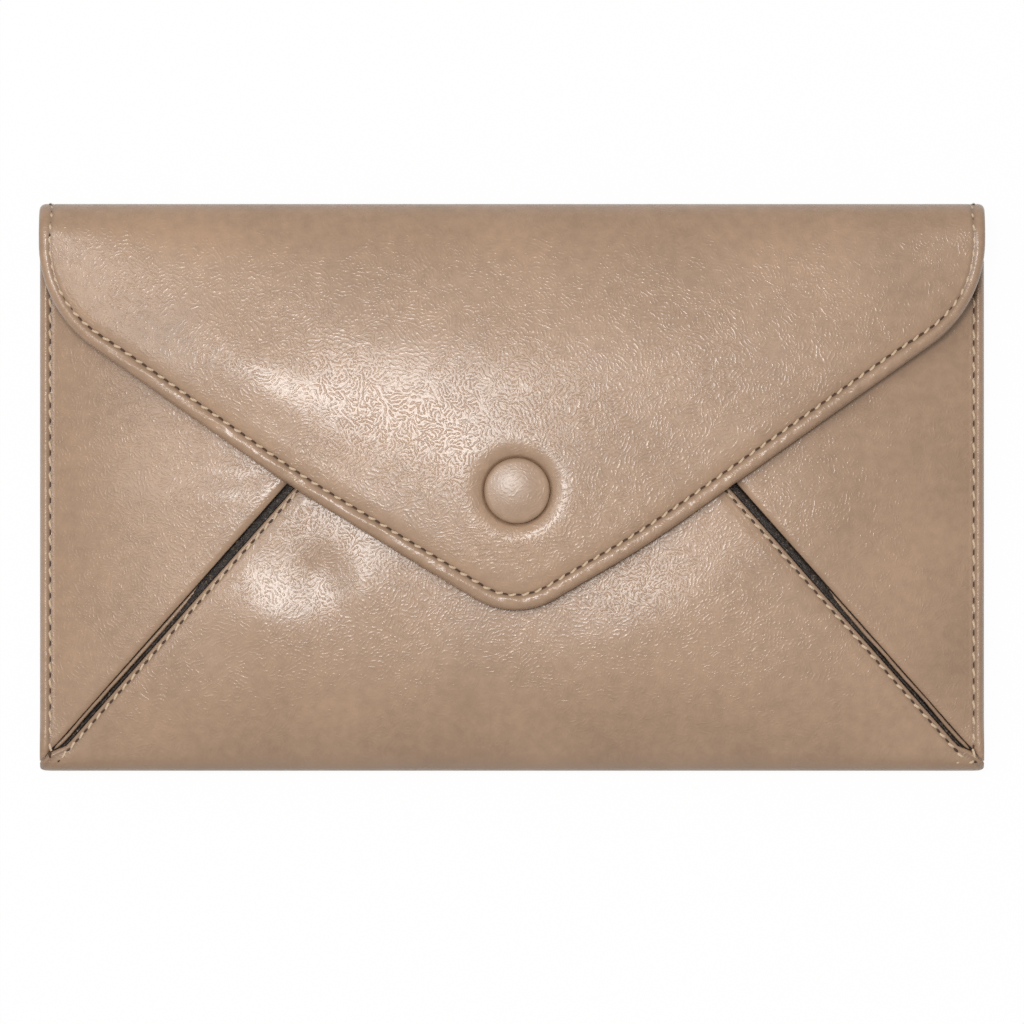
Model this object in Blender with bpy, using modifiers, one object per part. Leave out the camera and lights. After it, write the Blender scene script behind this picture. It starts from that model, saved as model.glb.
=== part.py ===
"""Clutch wallet: an envelope-shaped leather wallet with a covered snap, built lying on its back.

Frame: origin at the centre of the resting face, +X to the wallet's right as the flap faces the
viewer, +Y towards the top fold, +Z out of the front. Sizes are in metres.
"""

import math

import bmesh
import bpy
from mathutils import Matrix, Vector

# Envelope of the closed wallet
WALLET_WIDTH = 0.192
WALLET_HEIGHT = 0.115
CORNER_RADIUS = 0.002
HALF_WIDTH = WALLET_WIDTH / 2
HALF_HEIGHT = WALLET_HEIGHT / 2

# Sheet goods
LEATHER = 0.0013
STIFFENER = 0.0005
LINING = 0.0004
GAP = 0.0003
LINING_DROP = 0.0004
HEM_WIDTH = 0.0033
EDGE_ROUND = 0.0004

# Levels at the stitched rim, and how far each sheet swells above its own level
BACK_HEM_DEPTH = 0.0008
FRONT_TOP = 0.0066
FRONT_SWELL = 0.0090
DIVIDER_SWELL = 0.0063
FLAP_UNDERSIDE = 0.0108
SNAP_GAP = 0.00035
FLAP_STACK = LEATHER + STIFFENER + LINING + 2 * GAP
FLAP_SWELL = FRONT_TOP + FRONT_SWELL + SNAP_GAP - FLAP_UNDERSIDE
STIFFENER_BASE = LEATHER + GAP
LINING_BASE = STIFFENER_BASE + STIFFENER + GAP
LINING_TOP = LINING_BASE + LINING
SLOT_BASE = LINING_TOP + GAP
FRONT_LINING_BASE = FRONT_TOP - LEATHER - LINING_DROP - LINING

# Folds
TOP_FOLD_RADIUS = (FLAP_UNDERSIDE + FLAP_STACK - LEATHER) / 2
BOTTOM_FOLD_RADIUS = (FRONT_TOP - LEATHER) / 2
TOP_FOLD_Y = HALF_HEIGHT - TOP_FOLD_RADIUS - LEATHER / 2
BOTTOM_FOLD_Y = HALF_HEIGHT - BOTTOM_FOLD_RADIUS - LEATHER / 2
FOLD_STEPS = 12

# The swelling dies out at the stitch line and at the two folds
STITCH_INSET = 0.003
STITCH_X = HALF_WIDTH - STITCH_INSET
SIDE_POWER = 8
TOP_POWER = 6
BOTTOM_POWER = 3.5
FLAP_POWER = 4.6
COLUMNS = 16
ROWS = 12

# Flap outline: each diagonal bends a little on its way from the shoulder to the point
FLAP_LEFT_SHARE = 0.626
FLAP_LEFT_Y = HALF_HEIGHT * FLAP_LEFT_SHARE
FLAP_RIGHT_SHARE = 0.6365
FLAP_RIGHT_Y = HALF_HEIGHT * FLAP_RIGHT_SHARE
FLAP_LEFT_BEND_ACROSS = 0.458
FLAP_LEFT_BEND_UP = -0.0087
FLAP_RIGHT_BEND_ACROSS = 0.2917
FLAP_RIGHT_BEND_UP = -0.1991
FLAP_SLOPE = math.atan2(
    FLAP_RIGHT_Y - HALF_HEIGHT * FLAP_RIGHT_BEND_UP, HALF_WIDTH * (1 - FLAP_RIGHT_BEND_ACROSS)
)
FLAP_SHOULDER_REACH = (TOP_FOLD_Y - GAP - FLAP_RIGHT_Y) * 0.976
FLAP_SHOULDER_RADIUS = FLAP_SHOULDER_REACH * math.tan((math.pi / 2 + FLAP_SLOPE) / 2)
FLAP_POINT_X = 0.0005
FLAP_POINT_SHARE = 0.478
FLAP_POINT_Y = -HALF_HEIGHT * FLAP_POINT_SHARE
FLAP_POINT_RADIUS = 0.0156
ARC_STEPS = 7

# Front pocket: two side panels and a triangular centre panel
MOUTH_DROP = 0.0047
MOUTH_Y = TOP_FOLD_Y - MOUTH_DROP
SEAM_FOOT_IN = 0.0018
SEAM_FOOT_UP = 0.0019
SEAM_TIP_HALF_WIDTH = 0.0040
SEAM_FOOT = Vector((SEAM_FOOT_IN - HALF_WIDTH, SEAM_FOOT_UP - HALF_HEIGHT))
SEAM_HEAD = Vector((-SEAM_TIP_HALF_WIDTH, MOUTH_Y))
SEAM_HALF = 0.0010
WELT_INNER = 0.0001
WELT_DROP = 0.0003
GUSSET_HALF = 0.0040

# Card slots and divider
DIVIDER_DROP = 0.0127
DIVIDER_TOP_Y = TOP_FOLD_Y - DIVIDER_DROP
LINER_INSET = 0.0036
SLOT_INSET = 0.010
SLOT_HALF_WIDTH = HALF_WIDTH - SLOT_INSET
SLOT_DEPTH = 0.028
SLOT_SPACING = 0.031
SLOT_RISE = 0.018
SLOT_THUMB_RADIUS = 0.011

# Coin pocket with a zip across the divider
ZIP_DROP = 0.0262
ZIP_Y = TOP_FOLD_Y - ZIP_DROP
TAPE_HALF_WIDTH = 0.0090
TAPE_LENGTH_SHARE = 0.646
TAPE_HALF_LENGTH = HALF_WIDTH * TAPE_LENGTH_SHARE
TAPE_END = 0.006
TEETH_WIDTH = 0.0016
TEETH_HEIGHT = 0.0012
TEETH_HALF_LENGTH = TAPE_HALF_LENGTH - TAPE_END
STOP_LENGTH = 0.0025
POCKET_LIFT = 0.0010
POCKET_MARGIN = 0.002
POCKET_HALF_WIDTH = TAPE_HALF_LENGTH + POCKET_MARGIN
POCKET_RISE = 0.018
POCKET_BOTTOM_Y = POCKET_RISE - BOTTOM_FOLD_Y
ZIP_WINDOW = 0.006
POCKET_TOP_Y = ZIP_Y - ZIP_WINDOW
POCKET_HEM = 0.0016
FACING_WIDTH = 0.006
FACING_BOTTOM_Y = ZIP_Y + ZIP_WINDOW
FACING_TOP_Y = FACING_BOTTOM_Y + FACING_WIDTH
SLIDER_END_GAP = 0.006
SLIDER_REST_X = SLIDER_END_GAP - TEETH_HALF_LENGTH
SLIDER_LENGTH = 0.0085
SLIDER_WALL = 0.0007
SLIDER_PLATE = 0.0005
SHELF_REACH = 0.0022
SHELF_THICKNESS = 0.0005
PULL_WIDTH = 0.0050
PULL_LENGTH = 0.0150
PULL_THICKNESS = 0.0006
PULL_WINDOW_WIDTH = 0.0024
PULL_WINDOW_DEPTH = 0.0016
POST_WIDTH = 0.0014
POST_DEPTH = 0.0007

# Snap
SNAP_X = 0.0010
SNAP_Y = -0.0008
CAP_RADIUS = 0.00665
CAP_RISE = 0.0024
CAP_SHELL_WALL = 0.0010
SHELL_RADIUS = 0.0052
SHELL_THICKNESS = 0.0006
NECK_BORE = 0.0027
NECK_WALL = 0.00035
LEATHER_HOLE = 0.00335
LINING_HOLE = 0.0062
SOCKET_RADIUS = 0.0056
SOCKET_THICKNESS = 0.00045
STUD_BASE_RADIUS = 0.0050
STUD_BASE_THICKNESS = 0.0005
STUD_KNOB_RADIUS = 0.0020
STUD_WAIST_RADIUS = 0.0015
STUD_RISE = 0.0024
STUD_POST_RADIUS = 0.0012
STUD_HOLE = 0.0016
RIVET_RADIUS = 0.0040
RIVET_THICKNESS = 0.0006
LATHE_STEPS = 32

ON_PLANE = 0.00005
MERGE = 0.00001
TALL = HALF_HEIGHT
LEVEL_LIMIT = 0.5
UPRIGHT_LIMIT = 0.1

# Linear colours with roughness and metallic
TAN = ((0.456, 0.315, 0.212, 1.0), 0.34, 0.0)
TAN_SHADE = ((0.376, 0.254, 0.168, 1.0), 0.38, 0.0)
BLACK_CLOTH = ((0.012, 0.011, 0.011, 1.0), 0.85, 0.0)
BOARD = ((0.45, 0.42, 0.36, 1.0), 0.90, 0.0)
BRASS = ((0.66, 0.48, 0.22, 1.0), 0.28, 1.0)
TAPE = ((0.020, 0.018, 0.017, 1.0), 0.80, 0.0)


def clear_scene():
    for item in list(bpy.data.objects):
        bpy.data.objects.remove(item, do_unlink=True)


def new_collection(name):
    group = bpy.data.collections.new(name)
    bpy.context.scene.collection.children.link(group)
    return group


def finish_material(node, finish):
    colour, roughness, metallic = finish
    material = bpy.data.materials.new(node + "_finish")
    material.use_nodes = True
    shader = material.node_tree.nodes["Principled BSDF"]
    shader.inputs["Base Color"].default_value = colour
    shader.inputs["Roughness"].default_value = roughness
    shader.inputs["Metallic"].default_value = metallic
    material.diffuse_color = colour
    return material


class Wallet:
    """Holds the collections and the axis empties that the pieces hang from."""

    def __init__(self):
        self.pieces = new_collection("clutch_wallet")
        self.cutters = new_collection("cutters")
        self.fold_y = TOP_FOLD_Y + TOP_FOLD_RADIUS
        lower = (0.0, self.fold_y, LEATHER / 2)
        upper = (0.0, self.fold_y, LEATHER / 2 + 2 * TOP_FOLD_RADIUS)
        front = (0.0, -BOTTOM_FOLD_Y, FRONT_TOP - LEATHER / 2)
        self.spine = self.axis("top_fold_axis", lower, None)
        self.flap = self.axis("flap_axis", upper, self.spine)
        self.front = self.axis("front_axis", front, None)

    def axis(self, name, place, parent):
        empty = bpy.data.objects.new(name, None)
        self.pieces.objects.link(empty)
        empty.location = Vector(place) - (origin_of(parent))
        empty.parent = parent
        return empty

    def add(self, name, bm, finish, parent=None, origin=None):
        """Turns a mesh in the wallet's frame into a named piece under its axis."""
        mesh = bpy.data.meshes.new(name)
        home = Vector(origin) if origin is not None else origin_of(parent)
        bmesh.ops.transform(bm, matrix=Matrix.Translation(-home), verts=bm.verts)
        bm.to_mesh(mesh)
        bm.free()
        mesh.materials.append(finish_material(name, finish))
        piece = bpy.data.objects.new(name, mesh)
        self.pieces.objects.link(piece)
        piece.location = home - origin_of(parent)
        piece.parent = parent
        return piece

    def cut(self, piece, name, bm, operation="DIFFERENCE"):
        """Keeps a hidden tool body and applies it to the piece through an exact Boolean."""
        mesh = bpy.data.meshes.new(name)
        bm.to_mesh(mesh)
        bm.free()
        tool = bpy.data.objects.new(name, mesh)
        self.cutters.objects.link(tool)
        tool.hide_render = True
        tool.display_type = "WIRE"
        boolean = piece.modifiers.new(name, "BOOLEAN")
        boolean.operation = operation
        boolean.solver = "EXACT"
        boolean.object = tool


def origin_of(item):
    place = Vector((0.0, 0.0, 0.0))
    while item is not None:
        place = place + item.location
        item = item.parent
    return place


def swell(x, y, top_power):
    """Share of a sheet's full swelling at a point of the plan, 0 at the rim and 1 in the middle."""
    across = max(0.0, 1.0 - abs(x / STITCH_X) ** SIDE_POWER)
    reach = TOP_FOLD_Y if y > 0 else BOTTOM_FOLD_Y
    power = top_power if y > 0 else BOTTOM_POWER
    along = max(0.0, 1.0 - abs(y / reach) ** power)
    return across * along


def lattice(base, rise, top_power):
    """The one triangulated lattice that every sheet is cut from, so stacked sheets keep their gaps."""
    bm = bmesh.new()
    bmesh.ops.create_grid(bm, x_segments=COLUMNS, y_segments=ROWS, size=1.0)
    for vert in bm.verts:
        x = HALF_WIDTH * math.sin(vert.co.x * math.pi / 2)
        reach = TOP_FOLD_Y if vert.co.y > 0 else BOTTOM_FOLD_Y
        y = reach * math.sin(vert.co.y * math.pi / 2)
        vert.co = Vector((x, y, base + rise * swell(x, y, top_power)))
    bmesh.ops.triangulate(bm, faces=bm.faces[:], quad_method="FIXED")
    return bm


def sides(outline):
    """Yields a point and the outward normal for each side of a counter-clockwise convex outline."""
    for start, end in zip(outline, outline[1:] + outline[:1]):
        run = Vector((end[0] - start[0], end[1] - start[1], 0.0))
        yield Vector((start[0], start[1], 0.0)), Vector((run.y, -run.x, 0.0)).normalized()


def trim(bm, cuts):
    """Keeps what lies inside every cut, each one a point and its outward normal."""
    for point, normal in cuts:
        bmesh.ops.bisect_plane(
            bm,
            geom=bm.verts[:] + bm.edges[:] + bm.faces[:],
            dist=ON_PLANE,
            plane_co=point,
            plane_no=normal,
            clear_outer=True,
        )


def inset(cuts, distance):
    return [(point - normal * distance, normal) for point, normal in cuts]


def thicken(bm, depth):
    """Pulls the sheet straight down into a closed body."""
    made = bmesh.ops.extrude_face_region(bm, geom=bm.faces[:])["geom"]
    lowered = [item for item in made if isinstance(item, bmesh.types.BMVert)]
    bmesh.ops.translate(bm, verts=lowered, vec=(0.0, 0.0, -depth))
    bmesh.ops.recalc_face_normals(bm, faces=bm.faces[:])


def underside(bm):
    bm.normal_update()
    return [face for face in bm.faces if face.normal.z < -LEVEL_LIMIT]


def turn_edge(bm, hem, width, depth=None, level=None):
    """Extends the underside down along the given sides, as the turned-in edge of the sheet."""
    for point, normal in hem:
        lower = underside(bm)
        geom = {item for face in lower for item in [*face.verts, *face.edges, face]}
        bmesh.ops.bisect_plane(
            bm,
            geom=list(geom),
            dist=ON_PLANE,
            plane_co=point - normal * width,
            plane_no=normal,
        )
    turned = []
    for face in underside(bm):
        middle = face.calc_center_median()
        if any((middle - point).dot(normal) > MERGE - width for point, normal in hem):
            turned.append(face)
    made = bmesh.ops.extrude_face_region(bm, geom=turned)["geom"]
    for item in made:
        if isinstance(item, bmesh.types.BMVert):
            item.co.z = level if level is not None else item.co.z - depth
    bmesh.ops.delete(bm, geom=turned, context="FACES")
    bmesh.ops.recalc_face_normals(bm, faces=bm.faces[:])


def sheet(cuts, base, rise, thickness, top_power=TOP_POWER):
    """A sheet cut from the lattice: base is its underside level at the rim."""
    bm = lattice(base + thickness, rise, top_power)
    trim(bm, cuts)
    thicken(bm, thickness)
    return bm


def window(left, right, bottom, top):
    return list(sides(rectangle(left, right, bottom, top)))


def rectangle(left, right, bottom, top):
    return [(left, bottom), (right, bottom), (right, top), (left, top)]


def rounded(corners):
    """A convex outline whose corners (x, y, radius) are replaced by arcs."""
    points = []
    count = len(corners)
    for index, (x, y, radius) in enumerate(corners):
        here = Vector((x, y))
        if not radius:
            points.append((x, y))
            continue
        to_last = (Vector(corners[index - 1][:2]) - here).normalized()
        to_next = (Vector(corners[(index + 1) % count][:2]) - here).normalized()
        half = to_last.angle(to_next) / 2
        centre = here + (to_last + to_next).normalized() * radius / math.sin(half)
        first = here + to_last * radius / math.tan(half) - centre
        turn = math.pi - 2 * half
        for step in range(ARC_STEPS + 1):
            arm = Matrix.Rotation(turn * step / ARC_STEPS, 2) @ first
            points.append((centre.x + arm.x, centre.y + arm.y))
    return points


def mirrored(cuts):
    flip = Vector((-1.0, 1.0, 1.0))
    return [(point * flip, normal * flip) for point, normal in cuts]


def box(low, high):
    bm = bmesh.new()
    bmesh.ops.create_cube(bm, size=1.0)
    for vert in bm.verts:
        for axis in range(3):
            vert.co[axis] = high[axis] if vert.co[axis] > 0 else low[axis]
    return bm


def cylinder(x, y, radius, low, high):
    bm = bmesh.new()
    centre = Matrix.Translation((x, y, (low + high) / 2))
    bmesh.ops.create_cone(
        bm,
        cap_ends=True,
        segments=LATHE_STEPS,
        radius1=radius,
        radius2=radius,
        depth=high - low,
        matrix=centre,
    )
    return bm


def prism(outline, low, high):
    bm = bmesh.new()
    bm.faces.new([bm.verts.new((x, y, high)) for x, y in outline])
    thicken(bm, high - low)
    return bm


def profile_bar(points, left, right):
    """A closed (y, z) profile drawn out along X."""
    bm = bmesh.new()
    face = bm.faces.new([bm.verts.new((left, y, z)) for y, z in points])
    made = bmesh.ops.extrude_face_region(bm, geom=[face])["geom"]
    ends = [item for item in made if isinstance(item, bmesh.types.BMVert)]
    bmesh.ops.translate(bm, verts=ends, vec=(right - left, 0.0, 0.0))
    bmesh.ops.recalc_face_normals(bm, faces=bm.faces[:])
    return bm


def half_ring(centre_y, centre_z, radius, thickness, outward):
    """A strip bent through half a turn; outward is +1 for the top fold and -1 for the bottom one."""
    points = []
    for reach, order in ((radius + thickness / 2, 1), (radius - thickness / 2, -1)):
        for step in range(FOLD_STEPS + 1):
            angle = order * math.pi * (step / FOLD_STEPS - 1 / 2)
            y = centre_y + outward * reach * math.cos(angle)
            points.append((y, centre_z + reach * math.sin(angle)))
    return points


def lathe(points, x, y, ring=False):
    """Turns an (r, z) profile about the vertical through x, y."""
    bm = bmesh.new()
    verts = [bm.verts.new((x + radius, y, z)) for radius, z in points]
    pairs = list(zip(verts, verts[1:]))
    if ring:
        pairs.append((verts[-1], verts[0]))
    edges = [bm.edges.new(pair) for pair in pairs]
    bmesh.ops.spin(
        bm,
        geom=verts + edges,
        cent=(x, y, 0.0),
        axis=(0.0, 0.0, 1.0),
        angle=math.tau,
        steps=LATHE_STEPS,
    )
    bmesh.ops.remove_doubles(bm, verts=bm.verts[:], dist=MERGE)
    bmesh.ops.recalc_face_normals(bm, faces=bm.faces[:])
    return bm


def round_edges(piece):
    """A small bevel along the sheet's upper cut edge."""
    mesh = piece.data
    bm = bmesh.new()
    bm.from_mesh(mesh)
    bm.normal_update()
    layer = bm.edges.layers.float.new("bevel_weight_edge")
    for edge in bm.edges:
        if len(edge.link_faces) == 2:
            heights = sorted(face.normal.z for face in edge.link_faces)
            if heights[1] > LEVEL_LIMIT and abs(heights[0]) < UPRIGHT_LIMIT:
                edge[layer] = 1.0
    bm.to_mesh(mesh)
    bm.free()
    bevel = piece.modifiers.new("rounded_edge", "BEVEL")
    bevel.limit_method = "WEIGHT"
    bevel.width = EDGE_ROUND
    bevel.segments = 2


def flap_outline():
    return rounded(
        [
            (-HALF_WIDTH, TOP_FOLD_Y - GAP, 0.0),
            (-HALF_WIDTH, FLAP_LEFT_Y, FLAP_SHOULDER_RADIUS),
            (-HALF_WIDTH * FLAP_LEFT_BEND_ACROSS, HALF_HEIGHT * FLAP_LEFT_BEND_UP, 0.0),
            (FLAP_POINT_X, FLAP_POINT_Y, FLAP_POINT_RADIUS),
            (HALF_WIDTH * FLAP_RIGHT_BEND_ACROSS, HALF_HEIGHT * FLAP_RIGHT_BEND_UP, 0.0),
            (HALF_WIDTH, FLAP_RIGHT_Y, FLAP_SHOULDER_RADIUS),
            (HALF_WIDTH, TOP_FOLD_Y - GAP, 0.0),
        ]
    )


def outside_seam(offset):
    """Cut that keeps what is outside the left seam's line, moved towards the middle by offset."""
    run = (SEAM_HEAD - SEAM_FOOT).normalized()
    across = Vector((run.y, -run.x, 0.0))
    return [(Vector((*SEAM_FOOT, 0.0)) + across * offset, across)]


def inside_seam(offset):
    return [(point, -normal) for point, normal in outside_seam(offset)]


def build_back(wallet):
    """Back panel with its turned rim, its stiffener and lining, and the bottom fold."""
    plan = rectangle(-HALF_WIDTH, HALF_WIDTH, -BOTTOM_FOLD_Y + GAP, TOP_FOLD_Y - GAP)
    bm = prism(plan, 0.0, LEATHER)
    bmesh.ops.transform(bm, matrix=Matrix.Rotation(math.pi, 4, "Y"), verts=bm.verts)
    hem = [side for side in sides(plan) if abs(side[1].x) > LEVEL_LIMIT]
    turn_edge(bm, hem, HEM_WIDTH, depth=BACK_HEM_DEPTH)
    bmesh.ops.transform(bm, matrix=Matrix.Rotation(math.pi, 4, "Y"), verts=bm.verts)
    wallet.add("back_panel", bm, TAN)
    inner = HALF_WIDTH - LINER_INSET
    plan = rectangle(-inner, inner, -BOTTOM_FOLD_Y + GAP, TOP_FOLD_Y - GAP)
    wallet.add(
        "back_stiffener", prism(plan, STIFFENER_BASE, STIFFENER_BASE + STIFFENER), BOARD
    )
    wallet.add("back_lining", prism(plan, LINING_BASE, LINING_TOP), BLACK_CLOTH)
    ring = half_ring(
        -BOTTOM_FOLD_Y, LEATHER / 2 + BOTTOM_FOLD_RADIUS, BOTTOM_FOLD_RADIUS, LEATHER, -1
    )
    fold = wallet.add("bottom_fold", profile_bar(ring, -HALF_WIDTH, HALF_WIDTH), TAN)
    round_corners(wallet, fold, "bottom_fold_corners")


def round_corners(wallet, piece, name):
    """Rounds the plan's corners where a fold runs into the sides."""
    corners = [
        (-HALF_WIDTH, -HALF_HEIGHT, CORNER_RADIUS),
        (HALF_WIDTH, -HALF_HEIGHT, CORNER_RADIUS),
        (HALF_WIDTH, HALF_HEIGHT, CORNER_RADIUS),
        (-HALF_WIDTH, HALF_HEIGHT, CORNER_RADIUS),
    ]
    wallet.cut(piece, name, prism(rounded(corners), -TALL, TALL), "INTERSECT")


def build_top_fold(wallet):
    """The leather that wraps over the top, and the lining inside it."""
    middle = LEATHER / 2 + TOP_FOLD_RADIUS
    ring = half_ring(TOP_FOLD_Y, middle, TOP_FOLD_RADIUS, LEATHER, 1)
    fold = wallet.add(
        "top_fold", profile_bar(ring, -HALF_WIDTH, HALF_WIDTH), TAN, wallet.spine
    )
    round_corners(wallet, fold, "top_fold_corners")
    inner = HALF_WIDTH - LINER_INSET
    radius = (FLAP_UNDERSIDE - LINING_BASE) / 2
    ring = half_ring(TOP_FOLD_Y, middle, radius, LINING, 1)
    wallet.add("top_fold_lining", profile_bar(ring, -inner, inner), BLACK_CLOTH, wallet.spine)


def build_inside(wallet):
    """Card slots on the back lining and the divider between the two compartments."""
    for step, name in enumerate(("lower", "upper")):
        bottom = SLOT_RISE + step * SLOT_SPACING - BOTTOM_FOLD_Y
        top = bottom + SLOT_DEPTH
        plan = rectangle(-SLOT_HALF_WIDTH, SLOT_HALF_WIDTH, bottom, top)
        slot = wallet.add(
            "card_slot_" + name, prism(plan, SLOT_BASE, SLOT_BASE + LINING), BLACK_CLOTH
        )
        thumb = cylinder(0.0, top, SLOT_THUMB_RADIUS, 0.0, TALL)
        wallet.cut(slot, "thumb_notch_" + name, thumb)
    inner = HALF_WIDTH - LINER_INSET - GAP
    plan = window(-inner, inner, -BOTTOM_FOLD_Y + 2 * GAP, DIVIDER_TOP_Y)
    wallet.add("centre_divider", sheet(plan, SLOT_BASE, DIVIDER_SWELL, LINING), BLACK_CLOTH)


def build_coin_pocket(wallet):
    """A patch pocket on the divider, closed by a zip whose slider carries its pull."""
    top = SLOT_BASE + LINING
    low = top + GAP
    plan = window(-POCKET_HALF_WIDTH, POCKET_HALF_WIDTH, POCKET_BOTTOM_Y, POCKET_TOP_Y)
    bm = sheet(plan, top + POCKET_LIFT, DIVIDER_SWELL, LINING)
    hem = [side for side in plan if side[1].y < LEVEL_LIMIT]
    turn_edge(bm, hem, POCKET_HEM, depth=POCKET_LIFT - GAP)
    wallet.add("coin_pocket_front", bm, BLACK_CLOTH)
    plan = window(-POCKET_HALF_WIDTH, POCKET_HALF_WIDTH, FACING_BOTTOM_Y, FACING_TOP_Y)
    bm = sheet(plan, top + POCKET_LIFT, DIVIDER_SWELL, LINING)
    hem = [side for side in plan if side[1].y > -LEVEL_LIMIT]
    turn_edge(bm, hem, POCKET_HEM, depth=POCKET_LIFT - GAP)
    wallet.add("coin_pocket_facing", bm, BLACK_CLOTH)

    floor = top + DIVIDER_SWELL + GAP
    near = GAP / 2
    far = near + TEETH_WIDTH
    for name, sign in (("lower", -1), ("upper", 1)):
        rows = sorted((ZIP_Y + sign * near, ZIP_Y + sign * far))
        wallet.add(
            "zip_teeth_" + name,
            box(
                (-TEETH_HALF_LENGTH, rows[0], floor),
                (TEETH_HALF_LENGTH, rows[1], floor + TEETH_HEIGHT),
            ),
            BRASS,
        )
        rows = sorted((ZIP_Y + sign * (far + GAP), ZIP_Y + sign * TAPE_HALF_WIDTH))
        plan = window(-TAPE_HALF_LENGTH, TAPE_HALF_LENGTH, *rows)
        wallet.add("zip_tape_" + name, sheet(plan, low, DIVIDER_SWELL, LINING), TAPE)
    for name, sign in (("left", -1), ("right", 1)):
        ends = sorted(sign * (TEETH_HALF_LENGTH + GAP + along) for along in (0.0, STOP_LENGTH))
        wallet.add(
            "zip_stop_" + name,
            box(
                (ends[0], ZIP_Y - far, floor),
                (ends[1], ZIP_Y + far, floor + TEETH_HEIGHT),
            ),
            BRASS,
        )
    build_slider(wallet, floor, far)


def build_slider(wallet, floor, far):
    """A channel that rides over the teeth, with a shelf and post that hold the pull."""
    inner = far + GAP
    outer = inner + SLIDER_WALL
    skirt = floor + LINING + GAP
    ceiling = floor + TEETH_HEIGHT + GAP
    crown = ceiling + SLIDER_PLATE
    shelf = outer + SHELF_REACH
    half = SLIDER_LENGTH / 2
    middle = Vector((SLIDER_REST_X, ZIP_Y, floor))
    profile = [
        (ZIP_Y - shelf, skirt),
        (ZIP_Y - inner, skirt),
        (ZIP_Y - inner, ceiling),
        (ZIP_Y + inner, ceiling),
        (ZIP_Y + inner, skirt),
        (ZIP_Y + outer, skirt),
        (ZIP_Y + outer, crown),
        (ZIP_Y - outer, crown),
        (ZIP_Y - outer, skirt + SHELF_THICKNESS),
        (ZIP_Y - shelf, skirt + SHELF_THICKNESS),
    ]
    bm = profile_bar(profile, SLIDER_REST_X - half, SLIDER_REST_X + half)
    slider = wallet.add("zip_slider", bm, BRASS, None, middle)
    post_y = ZIP_Y - outer - SHELF_REACH / 2
    lift = skirt + SHELF_THICKNESS + GAP
    post = box(
        (SLIDER_REST_X - POST_WIDTH / 2, post_y - POST_DEPTH / 2, skirt + SHELF_THICKNESS / 2),
        (SLIDER_REST_X + POST_WIDTH / 2, post_y + POST_DEPTH / 2, lift + PULL_THICKNESS),
    )
    wallet.cut(slider, "pull_post", post, "UNION")
    pull_top = ZIP_Y - outer - GAP
    plan = rounded(
        [
            (SLIDER_REST_X - PULL_WIDTH / 2, pull_top - PULL_LENGTH, PULL_WIDTH / 4),
            (SLIDER_REST_X + PULL_WIDTH / 2, pull_top - PULL_LENGTH, PULL_WIDTH / 4),
            (SLIDER_REST_X + PULL_WIDTH / 2, pull_top, 0.0),
            (SLIDER_REST_X - PULL_WIDTH / 2, pull_top, 0.0),
        ]
    )
    pull = wallet.add("zip_pull", prism(plan, lift, lift + PULL_THICKNESS), BRASS, None, middle)
    window = box(
        (SLIDER_REST_X - PULL_WINDOW_WIDTH / 2, post_y - PULL_WINDOW_DEPTH / 2, 0.0),
        (SLIDER_REST_X + PULL_WINDOW_WIDTH / 2, post_y + PULL_WINDOW_DEPTH / 2, TALL),
    )
    wallet.cut(pull, "pull_window", window)


def build_side_panels(wallet):
    """Side panels sewn to the back, with linings, and the welt and gusset of each seam."""
    bottom = -BOTTOM_FOLD_Y + GAP
    edge = -HALF_WIDTH + LINER_INSET
    outer = window(-HALF_WIDTH, 0.0, bottom, MOUTH_Y)
    inner = window(edge, -GAP / 2, bottom, MOUTH_Y)
    panel = outer + outside_seam(-SEAM_HALF)
    lining = inner + outside_seam(-GUSSET_HALF - GAP)
    welt = outer + inside_seam(-SEAM_HALF + GAP) + outside_seam(WELT_INNER)
    gusset = inner + inside_seam(-GUSSET_HALF) + outside_seam(GUSSET_HALF)
    for name, turn in (("left", list), ("right", mirrored)):
        bm = sheet(turn(panel), FRONT_TOP - LEATHER, FRONT_SWELL, LEATHER)
        hem = [cut for cut in turn(outer) if abs(cut[1].x) > LEVEL_LIMIT and cut[0].x]
        turn_edge(bm, hem[:1], HEM_WIDTH, level=BACK_HEM_DEPTH + LEATHER + GAP)
        piece = wallet.add(name + "_side_panel", bm, TAN)
        round_edges(piece)
        bm = sheet(turn(lining), FRONT_LINING_BASE, FRONT_SWELL, LINING)
        wallet.add(name + "_side_lining", bm, BLACK_CLOTH)
        bm = sheet(turn(welt), FRONT_TOP - LEATHER, FRONT_SWELL, LEATHER - WELT_DROP)
        wallet.add(name + "_welt", bm, TAN_SHADE)
        bm = sheet(turn(gusset), FRONT_LINING_BASE, FRONT_SWELL, LINING)
        wallet.add(name + "_gusset", bm, BLACK_CLOTH)


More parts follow.
